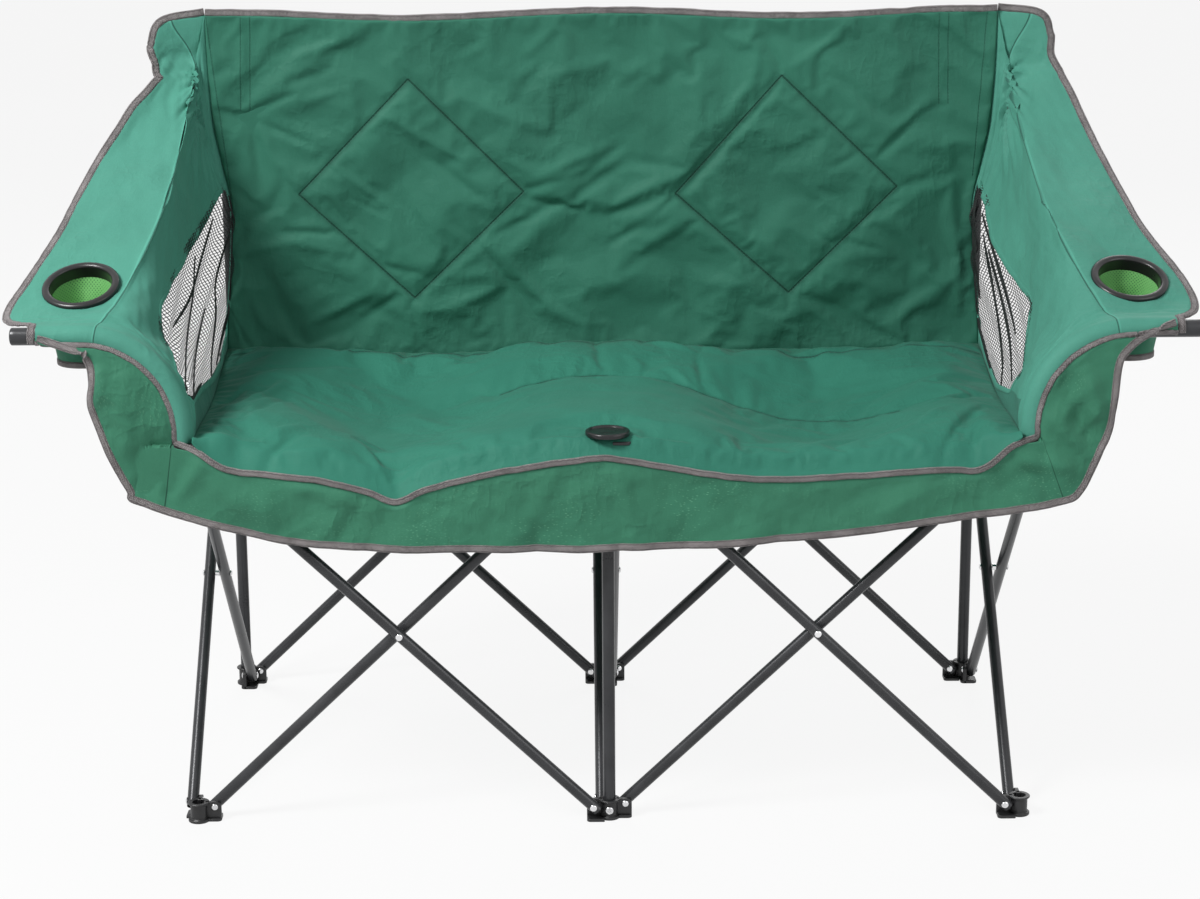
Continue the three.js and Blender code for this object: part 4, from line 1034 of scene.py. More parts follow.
def uprights():
    """The rear posts and the front prop: closed tubes with rounded tops, each screwed to its foot."""
    for name in ("front_centre", "rear_left", "rear_centre", "rear_right"):
        x, y = STANDS[name][:2]
        front = name == "front_centre"
        node = "prop_front_centre" if front else f"post_{name}"
        top = HUB_TOP - 0.0043 if front else 0.970
        outer, inner, bend = 0.008, 0.0068, 0.0025
        crown = [
            (outer - bend * (1 - math.cos(a)), top - bend * (1 - math.sin(a)))
            for a in np.linspace(0, np.pi / 2, 6)
        ]
        profile = [(outer, 0.0047), (outer, 0.25), (outer, top - bend)] + crown[1:]
        profile += [(0, top), (0, top - 0.003), (inner - 0.001, top - 0.003), (inner, top - 0.004)]
        profile += [(inner, 0.0047), (outer, 0.0043), (outer, 0.0047)]
        piece = Piece(f"upright_{name}")
        piece.add(lathe((x, y, 0), (0, 0, 1), profile, around=32))
        out = np.array([0.0, -1.0 if front else 1.0, 0.0])
        seat = np.array([x, y, 0.013]) + out * 0.0113
        piece.add(screw_head(seat, out), 1)
        piece.add(rod(seat - out * 0.006, out, 0.0017, 0.006), 1)
        stand(piece.make([tube_paint, chrome]), body_of(node), node, slot="tube")


def arm_bars():
    """The bent arm tubes: rings carried along the arm's middle line, a plug in the tip, and the neck
    that stands in the hub."""
    for side, name in ((-1, "left"), (1, "right")):
        piece = Piece(f"arm_bar_{name}")
        straight = np.linspace(0.003, ARM_LENGTH - 0.0012, 60)
        length = np.r_[0.0011, 0.0015, straight, ARM_LENGTH - 0.0004, ARM_LENGTH]
        out, up, _ = arm_line(length)
        centres = np.stack([side * (BAY + out), np.full_like(out, FRONT), HUB_TOP + up], -1)
        radii = np.full(len(length), ARM_R)
        radii[0], radii[-2], radii[-1] = ARM_R - 0.0004, ARM_R - 0.0003, ARM_R - 0.0012
        bar = swept(centres, radii, side=(0, 1, 0), around=36)
        ends = pole(bar, bar.shape[1])
        piece.add(np.concatenate([ends[:1], bar, ends[-1:]]))
        neck = [(0, -0.026), (0.0074, -0.026), (0.008, -0.0254), (0.008, 0.0012), (0, 0.0012)]
        piece.add(lathe((side * BAY, FRONT, HUB_TOP), (0, 0, 1), neck, 28))
        node = f"arm_tube_{name}"
        stand(piece.make([tube_paint]), body_of(node), node, slot="tube")
        end = Piece(f"arm_plug_{name}")
        tip = (side * (ARM_TIP - 0.0002), FRONT, HUB_TOP + ARM_RISE + ARM_BEND)
        disc = [(0, 0), (0.0098, 0), (0.0096, 0.0006), (0.0085, 0.0011), (0, 0.0012)]
        end.add(lathe(tip, (side, 0, 0), disc, 28))
        stand(end.make([plastic]), body_of(node), slot="plastic")


def pockets():
    """Cloth pockets over the posts: a sleeve with a rounded crown and a turned hem, slightly uneven."""
    for name in ("rear_left", "rear_centre", "rear_right"):
        x, y = STANDS[name][:2]
        top, foot = 0.9718, 0.8538
        outer, inner = 0.0097, 0.0084
        hem = outer + 0.0005
        wall = outer - 0.0001
        profile = [(hem, foot), (hem + 0.0001, foot + 0.004), (hem, foot + 0.008), (wall, foot + 0.009)]
        profile += [(wall + 0.0003 * math.sin(9 * h), h + foot) for h in np.linspace(0.02, 0.105, 10)]
        profile += [(outer - 0.0004, top - 0.004), (outer - 0.0018, top - 0.0012)]
        profile += [(outer - 0.004, top), (0, top)]
        profile += [(0, 0.9703), (inner, 0.9703), (inner, foot + 0.001), (hem, foot)]
        piece = Piece(f"post_pocket_{name}")
        piece.add(lathe((x, y, 0), (0, 0, 1), profile, 40))
        node = f"pocket_{name}"
        stand(piece.make([cloth]), body_of(node), node, slot="cloth")


feet_and_hubs()
crossed_tubes()
uprights()
arm_bars()
pockets()


# The arms: cloth, window edge, net, tape, cup ring and pouch

WINDOWS = {
    -1: [(0.640, 3.74), (0.605, 2.64), (0.550, 2.07), (0.498, 1.485), (0.628, 1.24), (0.788, 0.45),
         (0.920, 1.905), (0.986, 2.62), (0.968, 3.0), (0.905, 3.86), (0.805, 3.88), (0.698, 3.86)],
    1: [(0.643, 3.86), (0.640, 2.92), (0.667, 2.615), (0.650, 2.28), (0.615, 1.835), (0.703, 1.69),
        (0.797, 1.475), (0.920, 1.66), (0.975, 2.155), (0.985, 2.6), (0.980, 2.955), (0.940, 3.86),
        (0.848, 3.88), (0.723, 3.86)],
}
NET_FOLDS = {
    -1: [(3.2, [(0.623, 2.755), (0.635, 2.44), (0.653, 2.065), (0.605, 1.535)]),
         (3.4, [(0.605, 2.35), (0.695, 1.945), (0.775, 0.62)]),
         (4.5, [(0.700, 3.80), (0.740, 2.65), (0.858, 2.475), (0.943, 2.185)]),
         (5.5, [(0.905, 3.70), (0.930, 2.90), (0.950, 2.40)]),
         (7.5, [(0.660, 3.74), (0.740, 3.79), (0.820, 3.80), (0.890, 3.76)]),
         (3.0, [(0.760, 2.30), (0.800, 1.90), (0.840, 1.20)]),
         (3.5, [(0.800, 0.70), (0.850, 1.30), (0.900, 1.85)])],
    1: [(8.5, [(0.693, 2.77), (0.800, 2.43), (0.955, 1.975)]),
        (8.0, [(0.703, 2.645), (0.758, 2.32), (0.885, 1.70)]),
        (7.0, [(0.660, 2.90), (0.690, 2.50), (0.760, 1.95)]),
        (32.0, [(0.640, 3.42), (0.720, 3.52), (0.800, 3.64), (0.860, 3.74)]),
        (12.0, [(0.820, 3.74), (0.870, 3.68), (0.930, 3.60)]),
        (14.0, [(0.700, 3.10), (0.780, 3.05), (0.880, 2.85)]),
        (9.0, [(0.940, 3.60), (0.960, 3.00), (0.975, 2.40)])],
}
EDGE_DRAW = {
    -1: [(0, 0), (1.0, 2), (1.2, -1), (1.4, -4), (1.6, -3), (2.0, 2), (2.2, 8), (2.4, 14), (2.6, 15),
         (2.75, 14), (2.85, 7), (2.95, 0), (3.0, -5), (3.1, -2), (3.5, 0), (4, 4)],
    1: [(0, 0), (0.6, -9), (0.8, -12), (1.2, -10), (1.4, -9), (1.6, -11), (1.8, -12), (2.0, -10),
        (2.2, -4), (2.4, 5), (2.6, 14), (2.8, 20), (3.0, 17), (3.2, 14), (3.4, 10), (3.6, 4), (4, -3)],
}
NET_SLACK = 0.0030  # how deep the net's gathers are
ARM_STEP = np.array([0.45, 0.25])  # metres that a step of 1 across or along the panel is worth
ARM_CRUSH_AXIS = (0, 0.415, 0.205)
arm_sheets, bag_sheets = [], []  # the arm pieces and the cup bags, with their areas


def relief(surface, first, second, height):
    """Moves a surface along its own normal, found by small steps of both parameters."""
    step = 1e-4
    ahead = surface(first + step, second) - surface(first - step, second)
    aside = surface(first, second + step) - surface(first, second - step)
    return surface(first, second) + unit(np.cross(ahead, aside)) * height[..., None]


def window_edge(side):
    """The window's outline on the arm panel: straight stretches between its corners, softened."""
    marks = np.array(WINDOWS[side] + WINDOWS[side][:1])
    steps = np.r_[0, np.cumsum(np.linalg.norm(np.diff(marks * ARM_STEP, axis=0), axis=1))]
    at = np.linspace(0, steps[-1], 260, endpoint=False)
    line = np.stack([np.interp(at, steps, marks[:, k]) for k in (0, 1)], -1)
    kernel = np.hanning(7) / np.hanning(7).sum()
    for k in (0, 1):
        padded = np.r_[line[-3:, k], line[:, k], line[:3, k]]
        line[:, k] = np.convolve(padded, kernel, "valid")
    return line


def inside(line, across, along):
    """Whether points lie inside a closed line, by counting the edges to one side of each."""
    result = np.zeros(across.shape, bool)
    ends = np.roll(line, -1, axis=0)
    for (x0, y0), (x1, y1) in zip(line, ends):
        if y0 == y1:
            continue
        crosses = (along > min(y0, y1)) & (along <= max(y0, y1))
        result ^= crosses & (across < x0 + (along - y0) * (x1 - x0) / (y1 - y0))
    return result


def crease_at(along):
    """The share at which the crease runs: it leaves the fold near the gathers, toward the outer edge."""
    return CREASE - 0.11 * smooth(along, 3.0, 4.0)


def arm_height(side, across, along):
    """Puckers of an arm panel: ridges that fan out from the pinch at the gathers, a welt along the
    crease, a slack hollow over the top and slow waves."""
    reach_across = (across - 0.36) * ARM_STEP[0]
    reach_along = (along - 3.0) * 0.20
    away = np.hypot(reach_across, reach_along)
    angle = np.arctan2(reach_across, -reach_along)
    fan = 0.0042 * np.sin(angle * 9 + 1.3 * side) * np.exp(-((away - 0.03) / 0.040) ** 2)
    fine = 0.0018 * np.sin(angle * 21 + 2.0) * np.exp(-((away - 0.045) / 0.030) ** 2)
    welt = np.exp(-((across - crease_at(along)) / 0.010) ** 2) * smooth(along, 0.2, 0.6)
    wave = ripple(across * ARM_STEP[0], along * 0.22, 0.16, 11 + side) * 0.0026
    free = smooth(along, 0.1, 1.0) * smooth(-along, -3.9, -3.4) * smooth(-across, -1, -0.92)
    return (fan + fine + wave) * free * smooth(across, 0.0, 0.05) + 0.0014 * welt * free


def sunk(grid, across, along):
    """Lowers the low edge of an arm panel's points to the seat's edge, which sags between the hubs."""
    deep = np.clip((grid[..., 1] - FRONT) / BAY, 0, 1)
    fall = (0.0020 - 0.014 * np.sin(np.pi * deep) ** 2) * smooth(across, 0.80, 1) * (along > 0)
    return grid + fall[..., None] * np.array([0, 0, 1.0])


def arm_cloth(side, across, along):
    """The arm panel with its puckers. Its outer edge is drawn in or let out by a table of lengths, which
    fade to nothing at the crease, and its low edge sinks with the seat's."""
    turn = 0.33 if side < 0 else 0.29  # the left cloth goes further round its tube

    def surface(a, b):
        return arm_surface(side, a, b, turn)

    across, along = np.broadcast_arrays(np.asarray(across, float), np.asarray(along, float))
    table = np.array(EDGE_DRAW[side])
    draw = through(table[:, 0], table[:, 1] * MM, along) * np.clip(1 - across / CREASE, 0, 1)
    outward = unit(surface(0 * across, along) - surface(0 * across + 0.06, along))
    grid = relief(surface, across, along, arm_height(side, across, along)) + outward * draw[..., None]
    return sunk(grid, across, along)


def cup_place(side):
    """The middle of the cup ring and the direction that it faces."""
    place = np.array([side * 0.6626, -0.1647, 0.6836])
    across, along = 0.168, 1.3625  # the panel's own place under the ring
    step = 0.01
    ahead = arm_surface(side, across + step, along) - arm_surface(side, across - step, along)
    aside = arm_surface(side, across, along + step) - arm_surface(side, across, along - step)
    face = unit(np.cross(ahead, aside))
    return place, face if face[2] > 0 else -face


def thicken(piece, thickness):
    """A cloth's thickness, half to each side."""
    solid = piece.modifiers.new("thickness", "SOLIDIFY")
    solid.thickness = thickness
    solid.offset = 0
    solid.use_rim = True


def arm_grid():
    """The two parameters of every point of an arm panel, closer together where it bends most."""
    across = stretches((0, 46), (CREASE, 116), (1, 0))
    along = stretches((-1, 14), (0, 26), (1, 50), (2, 66), (3, 26), (4, 0))
    return np.meshgrid(across, along, indexing="ij")


def window_strip(side, line):
    """The turned edge of the window: a strip to both sides of its outline, held inside the panel."""
    ahead = np.roll(line, -1, axis=0) - np.roll(line, 1, axis=0)
    ahead = unit(ahead * ARM_STEP)
    square = np.stack([ahead[:, 1], -ahead[:, 0]], -1)
    turned = np.sign(np.sum(np.cross(line * ARM_STEP, np.roll(line, -1, axis=0) * ARM_STEP)))
    offsets = np.array([-0.0055, -0.0025, 0.0, 0.0022])
    spots = line[:, None] - turned * square[:, None] * offsets[None, :, None] / ARM_STEP
    spots = np.concatenate([spots, spots[:1]])
    across = np.clip(spots[..., 0], 0, 0.998)
    along = np.clip(spots[..., 1], 0, 3.985)
    return arm_cloth(side, across, along)


def arm_net_piece(side, name, a, b, line):
    """The net: the panel's cells inside the window, drawn up in soft gathers, with doubled folds that
    run over it as flat tapering welts."""
    grid = sunk(arm_surface(side, a, b), a, b)
    facing = normals(grid)
    facing = facing * np.sign(facing[..., 0].mean()) * side
    spots = np.stack([a, b], -1)[..., None, :] * ARM_STEP
    off_edge = np.linalg.norm(spots - line * ARM_STEP, axis=-1).min(axis=-1) * inside(line, a, b)
    slack = smooth(off_edge, 0.0, 0.035)
    gathers = NET_SLACK * np.sin(a * 62 + 1.4 * b + 0.8 * np.sin(3 * b)) * slack
    grid = grid + facing * (gathers - NET_SLACK * slack)[..., None]
    middle = line.mean(axis=0)
    out = line - middle
    grown = middle + out * (1 + 0.011 / np.linalg.norm(out * ARM_STEP, axis=1))[:, None]
    kept = inside(grown, cell_middles(a), cell_middles(b))
    piece = Piece(f"arm_net_{name}")
    piece.add(grid, places=grid[..., 1:], kept=kept)
    area = area_of(grid, kept)
    for k, (width, marks) in enumerate(NET_FOLDS[side]):
        marks = np.array(marks)
        t = np.linspace(0, 1, 70)
        spots = through(np.linspace(0, 1, len(marks)), marks, t)
        path = sunk(arm_surface(side, spots[:, 0], spots[:, 1]), spots[:, 0], spots[:, 1])
        ahead = unit(np.gradient(path, axis=0))
        inward = np.array([-side, 0.0, 0.0])
        normal = unit(inward - ahead * (ahead @ inward)[:, None])
        aside = np.cross(ahead, normal)
        swell = np.sin(np.pi * t) ** 0.7 * (0.75 + 0.25 * np.sin(9 * t + k))
        half = (0.0008 + width * MM * swell)[:, None, None]
        turn = np.linspace(0, TURN, 9)[None, :, None]
        ring = path[:, None] + half * np.cos(turn) * aside[:, None]
        ring = ring + (0.0008 * np.sin(turn) + 0.0015) * normal[:, None]
        ends = pole(ring[:, :-1], ring.shape[1])
        piece.add(np.concatenate([ends[:1], ring, ends[-1:]]), finish=1)
        area += area_of(ring)
    return piece.make([arm_net, net_fold], closed=False), area


def arm_panels():
    """Each arm's cloth with its window and the cup's hole cut out, its net, turned edge, tape and cup
    holder."""
    a, b = arm_grid()
    for side, name in ((-1, "left"), (1, "right")):
        body = f"hub_front_{name}"
        crush = (ARM_CRUSH_AXIS, (side * BAY, FRONT + 0.055, HUB_TOP + 0.135), FOLDED_SHARE)
        grid = arm_cloth(side, a, b)
        line = window_edge(side)
        ring, face = cup_place(side)
        off = cell_middles(grid) - ring
        flat = off - (off @ face)[..., None] * face
        kept = ~inside(line, cell_middles(a), cell_middles(b))
        kept &= ~((np.linalg.norm(flat, axis=-1) < 0.0455) & (np.abs(off @ face) < 0.03))
        piece = Piece(f"arm_cover_{name}").add(grid, kept=kept, spans=np.stack([a, b], -1))
        panel = piece.make([cloth], closed=False, sharp=60)
        thicken(panel, 0.002)
        stand(panel, body, f"arm_panel_{name}", slot="cloth", crush=crush)

        net, net_area = arm_net_piece(side, name, a, b, line)
        thicken(net, 0.0005)
        stand(net, body, f"arm_mesh_{name}", slot="mesh", crush=crush)

        rim = Piece(f"arm_window_edge_{name}").add(window_strip(side, line)).make([cloth], closed=False)
        thicken(rim, 0.0030)
        stand(rim, body, slot="cloth", crush=crush)
        area = area_of(grid, kept)
        arm_sheets.append((name, panel, area, net, net_area, rim))
        arm_binding(side, name, body, crush)
        cup_holder(name, body, ring, face)


def arm_binding(side, name, body, crush):
    """Tape along the arm's outer edge, round the wing's corner and along its top."""
    along = np.r_[np.linspace(-0.98, 0, 14)[:-1], np.linspace(0, 4, 200)]
    edge = arm_cloth(side, np.zeros_like(along), along)
    inner = arm_cloth(side, np.full_like(along, 0.02), along)
    away = unit(edge - inner)
    blend = smooth(along, -0.1, 0.35)[:, None]
    away = unit(np.array([side, 0.0, 0.0]) * (1 - blend) + away * blend)
    across = np.linspace(0.004, CREASE, 40)
    top = arm_cloth(side, across, np.full_like(across, 4.0))
    below = arm_surface(side, across, np.full_like(across, 3.97))
    up = unit(top - below)
    edge = np.concatenate([edge, top])
    away = np.concatenate([away, up])
    for _ in range(6):
        away[1:-1] = unit(away[:-2] + 2 * away[1:-1] + away[2:])
    ahead = unit(np.gradient(edge, axis=0))
    normal = unit(np.cross(ahead, away))
    away = unit(np.cross(normal, ahead))
    edge = edge + (0.0005 * ripple(np.arange(len(edge)) * 0.006, 0.0, 0.05, 5 + side))[:, None] * normal
    piece = Piece(f"arm_edge_tape_{name}")
    piece.tape(edge, away, normal, width=0.0105, thickness=0.0038, near=-0.0012)
    trim = piece.make([binding_tape])
    stand(trim, body, f"arm_binding_{name}", slot="binding", crush=crush)


def cup_holder(name, body, ring, face):
    """The ring is a rounded collar turned from its profile. The net pouch is a bag whose circles shrink
    and tip level as they go down. A cloth sleeve with a taped hem hangs round it."""
    a = np.linspace(0, np.pi, 12)
    outer, inner, over, under, bend = 0.0493, 0.0392, 0.0066, -0.006, 0.0035
    mid, half = (outer + inner) / 2, (outer - inner) / 2
    crown = [(mid + half * math.cos(k), over - bend + bend * math.sin(k)) for k in a]
    foot = [(inner, 0.0), (inner + 0.0006, -0.012), (inner + 0.0022, -0.0125), (inner + 0.0024, under)]
    profile = [(outer, under), (outer, 0.0)] + crown + foot + [(outer, under)]
    collar = Piece(f"cup_collar_{name}").add(lathe(ring, face, profile, 72)).make([gloss])
    stand(collar, body, f"cup_ring_{name}", slot="plastic")

    turn = np.linspace(0, TURN, 97)[None, :]
    first = unit(np.array([1.0, 0, 0]) - face[0] * face)
    second = np.cross(face, first)

    def hanging(level, top_radius, foot_radius, depth, creases, start):
        """Circles under the ring: they shrink, take creases, tip level and drop."""
        radius = top_radius + (foot_radius - top_radius) * level
        radius = radius * (1 + creases * np.sin(7 * turn + 3 * level) * np.sin(np.pi * level) ** 2)
        circle = np.stack([radius * np.cos(turn), radius * np.sin(turn) + 0 * level, 0 * radius], -1)
        tipped = circle[..., :1] * first + circle[..., 1:2] * second
        share = (1 - level)[..., None]
        wall = ring - face * start + circle * (1 - share) + tipped * share
        wall[..., 2] -= depth * level
        return wall

    level = np.linspace(0, 1, 30)[:, None] + 0 * turn
    bag = hanging(level, top_radius=0.0440, foot_radius=0.0290, depth=0.052, creases=0.035, start=0.0063)
    middle = bag[-1].mean(axis=0)
    closing = np.linspace(1, 0, 12)[1:, None, None]
    floor = middle + (bag[-1] - middle) * closing
    floor[..., 2] -= 0.003 * (1 - closing[..., 0] ** 2)
    bag = np.concatenate([bag, floor])
    net = Piece(f"cup_bag_{name}").add(bag).make([pouch_net], closed=False)
    thicken(net, 0.0010)
    stand(net, body, f"cup_pouch_{name}", slot="pouch")
    bag_sheets.append((net, area_of(bag), (0.29, 0.14), []))

    sleeve = hanging(level, top_radius=0.0462, foot_radius=0.0345, depth=0.084, creases=0.05, start=0.0070)
    away = np.tile([0.0, 0.0, -1.0], (sleeve.shape[1], 1))
    edge = sleeve[-1]
    out = unit((edge - edge.mean(axis=0)) * np.array([1.0, 1.0, 0.0]))
    hem = Piece(f"cup_sleeve_hem_{name}")
    hem.tape(edge, away, out, width=0.0085, thickness=0.0032, near=-0.0010, closed=True)
    hem = stand(hem.make([binding_tape]), body, slot="binding")
    cover = Piece(f"cup_sleeve_{name}").add(sleeve).make([skirt_cloth], closed=False)
    thicken(cover, 0.0012)
    stand(cover, body, slot="pouch")
    bag_sheets.append((cover, area_of(sleeve), (0.27, 0.09), [hem]))


arm_panels()


# The padded pieces. Folds are listed in millimetres: two ends, a width and a height.

BACK_FOLDS = [
    (-109, 922, -58, 971, 9, 2.5), (-114, 882, -84, 907, 8, -2), (-24, 874, 51, 889, 12, -2),
    (-101, 705, -40, 725, 7, -3.2), (-40, 725, 36, 778, 8, -3.6), (36, 778, 97, 769, 8, -2.5),
    (-96, 730, 6, 780, 9, 3.2), (5, 699, 97, 729, 8, -3), (16, 719, 102, 754, 9, 2.4),
    (3, 655, 61, 688, 7, -2.5), (46, 647, 122, 698, 10, 2.5), (71, 698, 107, 729, 6, -2.5),
    (107, 726, 177, 807, 8, -3), (177, 807, 250, 892, 7, -2.2), (385, 778, 449, 841, 7, -2.8),
    (449, 841, 482, 853, 6, -2.2), (400, 808, 464, 863, 9, 2.6), (330, 768, 370, 793, 5, -1.6),
    (284, 580, 343, 560, 7, -2.8), (343, 560, 416, 506, 8, -2.8), (292, 562, 386, 498, 9, 2.4),
    (421, 737, 507, 757, 8, -1.8), (417, 696, 497, 576, 14, 2.2), (342, 660, 393, 647, 6, -2),
    (210, 568, 190, 510, 9, -2), (138, 508, 169, 542, 8, 2), (232, 945, 255, 897, 8, -2.4),
    (257, 902, 341, 959, 8, 2.4), (212, 885, 167, 835, 9, 2), (482, 848, 516, 539, 11, 2.6),
    (499, 787, 523, 550, 8, -2.4), (168, 687, 194, 697, 3.5, 1.6), (194, 650, 214, 666, 3.5, 1.6),
    (220, 613, 242, 626, 3.5, 1.5), (137, 718, 160, 677, 4, -1.4), (306, 671, 337, 645, 4, -1.4),
    (166, 950, 232, 935, 11, 1.8), (-85, 837, -4, 861, 12, 2.2), (-107, 627, -36, 647, 12, -2.2),
    (-57, 570, 51, 616, 12, 2), (112, 636, 128, 542, 12, -2), (168, 625, 189, 542, 12, 1.8),
    (333, 541, 375, 493, 8, -2.2), (436, 550, 489, 508, 9, 2), (-491, 846, -428, 874, 5, -3),
    (-491, 838, -404, 800, 5, -3), (-541, 850, -497, 843, 5, -2.6), (-489, 838, -480, 749, 6, -3),
    (-478, 838, -455, 748, 7, 2.8), (-534, 771, -505, 829, 6, 2.4), (-453, 917, -338, 953, 7, 2.8),
    (-465, 946, -377, 963, 7, -2.2), (-445, 886, -374, 907, 7, -2), (-433, 855, -353, 881, 8, 2),
    (-221, 913, -150, 941, 8, 2.4), (-204, 871, -81, 822, 10, 2.4), (-110, 737, -28, 758, 6, -3.4),
    (-28, 758, 29, 800, 7, -3.4), (-104, 751, 7, 799, 8, 3.2), (-118, 726, -29, 708, 6, -2.8),
    (-154, 673, -73, 710, 6, -2.8), (-177, 661, -119, 583, 6, -2.8), (-119, 583, -84, 519, 7, -2.2),
    (-145, 647, -66, 555, 9, 2.8), (-523, 693, -452, 713, 6, -2.8), (-521, 648, -420, 669, 8, 2.6),
    (-453, 680, -350, 675, 5, -2.8), (-449, 663, -360, 649, 7, 2.2), (-445, 501, -363, 537, 6, -2.6),
    (-363, 537, -294, 584, 6, -2.6), (-426, 540, -317, 598, 8, 2.6), (-473, 613, -440, 526, 8, -2.4),
    (-513, 623, -481, 522, 9, 2.4), (-271, 573, -260, 497, 6, -2.4), (-238, 499, -156, 527, 7, -2.4),
    (-246, 557, -155, 593, 9, 2.4), (-383, 778, -296, 710, 5, 1.6), (-358, 728, -312, 704, 4, -1.8),
    (-293, 836, -195, 781, 7, 1.6), (-267, 799, -184, 736, 7, -1.6), (-326, 632, -262, 619, 5, -2),
    (-384, 739, -350, 685, 6, 1.3), (-277, 747, -234, 666, 9, 1.4), (-517, 740, -461, 686, 9, -2.4),
    (-458, 784, -418, 730, 7, 2), (-573, 686, -525, 540, 12, -2), (-80, 897, 25, 922, 10, 2),
    (-63, 835, 8, 870, 9, -2.4), (-362, 585, -273, 538, 9, -1.8),
]
SEAT_FOLDS = [
    (-164, 209, -81, 234, 9, 4), (-81, 234, -10, 249, 9, 4), (-10, 249, 60, 234, 9, 4),
    (60, 234, 125, 188, 9, 4), (-10, 238, -6, 131, 6, -2.2), (-28, 196, -63, 141, 7, 2),
    (24, 179, 57, 109, 8, 2), (-464, -176, -420, 29, 7, -3), (-482, -90, -438, 63, 8, 3),
    (-461, -340, -388, -217, 7, -3), (-434, -247, -384, -174, 7, 2.6), (-280, -254, -244, -255, 6, 2.8),
    (-292, -266, -237, -261, 7, -3), (-314, -198, -269, -284, 8, 2.6), (483, -38, 418, -87, 6, -3.2),
    (484, -135, 405, -299, 6, -3.2), (470, -175, 443, -249, 6, -3.2), (488, -48, 426, 45, 7, 2.6),
    (454, -120, 378, -223, 8, 3), (421, -303, 361, -231, 8, 2.2), (473, -238, 458, -296, 6, 2.4),
    (48, 73, 60, 138, 4, -1.6), (92, 119, 123, 57, 6, 1.6), (129, 195, 134, 69, 6, -2),
    (-409, 67, -270, 145, 12, 1.8), (-354, -88, -251, -185, 12, -1.8), (-261, -20, -138, -267, 12, 1.8),
    (-455, 112, -350, 183, 10, -1.6), (127, -233, 252, -227, 12, -1.6), (220, -14, 334, -121, 12, 1.8),
    (282, 135, 382, 104, 12, -1.6), (267, -241, 350, -186, 9, -2), (-513, -43, -489, 31, 6, -3),
    (-496, -259, -432, -252, 8, 3), (-138, -268, -75, -339, 8, 1.5), (61, -346, 125, -262, 8, 1.6),
    (-468, -284, -414, -291, 6, -2.4), (-393, -264, -318, -249, 7, 2.2), (-200, 126, -114, 133, 10, 1.6),
    (190, 179, 278, 199, 10, 1.6), (-78, -1, -143, -91, 10, 1.2), (100, -119, 185, -43, 9, 1.2),
]


PAD_RIM = 0.0025  # the width of a pad's rolled edge
SEAM_HOLD = 0.0035  # how near a seam the cloth stays where it is


def seam_distance(x, z, lines):
    """The distance to the nearest of some straight stretches."""
    best = np.full(np.broadcast(x, z).shape, 9.0)
    for (x0, z0), (x1, z1) in lines:
        length = math.hypot(x1 - x0, z1 - z0)
        place = ((x - x0) * (x1 - x0) + (z - z0) * (z1 - z0)) / length**2
        held = np.clip(place, 0, 1)
        away = np.hypot(x - x0 - held * (x1 - x0), z - z0 - held * (z1 - z0))
        best = np.minimum(best, away)
    return best


def edged(count, low, high, rim):
    """Places from low to high, crowded near both ends so that a rolled edge is round."""
    near = rim * (1 - np.cos(np.linspace(0, np.pi / 2, 4)))
    inner = np.linspace(rim, high - low - rim, count)
    return np.r_[low + near[:-1], low + inner, high - near[:-1][::-1]]


def pad_rim(distance):
    """The height of a rolled edge, as a quarter circle over the rim's width."""
    return np.sqrt(np.clip(1 - (1 - np.clip(distance / PAD_RIM, 0, 1)) ** 2, 0, 1))


def spots_of(mesh):
    """The mesh's points as one array."""
    spots = np.empty(len(mesh.vertices) * 3, np.float32)
    mesh.vertices.foreach_get("co", spots)
    return spots.reshape(-1, 3).astype(float)


def plump(pad, held, pressure, growth, frames, cap):
    """Swells a pad as cloth: the held points stay, the rest is blown up a little and grows by a share,
    so that it puckers along its seams. No point moves further than the cap."""
    before = spots_of(pad.data)
    group = pad.vertex_groups.new(name="held")
    group.add(np.flatnonzero(held(before)).tolist(), 1.0, "REPLACE")
    work = pad.modifiers.new("cloth", "CLOTH")
    ways = work.settings
    ways.quality = 6
    ways.mass = 0.25
    ways.tension_stiffness = ways.compression_stiffness = 18
    ways.shear_stiffness = 8
    ways.bending_stiffness = 3.0
    ways.use_pressure = True
    ways.uniform_pressure_force = pressure
    ways.shrink_min = ways.shrink_max = -growth
    ways.vertex_group_mass = "held"
    ways.effector_weights.gravity = 0
    work.point_cache.frame_start, work.point_cache.frame_end = 1, frames
    scene = bpy.context.scene
    for step in range(1, frames + 1):
        scene.frame_set(step)
    ready = pad.evaluated_get(bpy.context.evaluated_depsgraph_get())
    moved = spots_of(ready.data) - before
    pad.modifiers.remove(work)
    pad.vertex_groups.remove(group)
    scene.frame_set(1)
    length = np.linalg.norm(moved, axis=1, keepdims=True)
    moved = moved * np.minimum(1, cap / np.maximum(length, 1e-9))
    pad.data.vertices.foreach_set("co", (before + moved).astype(np.float32).ravel())
    pad.data.update()


def refined(pad):
    """One subdivision, the same in the view and in the render."""
    finer = pad.modifiers.new("finer", "SUBSURF")
    finer.levels = finer.render_levels = 1
    finer.boundary_smooth = "ALL"


def two_sheets(name, front, rear, places, finish):
    """A pad of two sheets of points that share their rim."""
    piece = Piece(name)
    piece.add(front, places=places)
    piece.add(rear, places=places)
    return piece.make([finish], sharp=60)


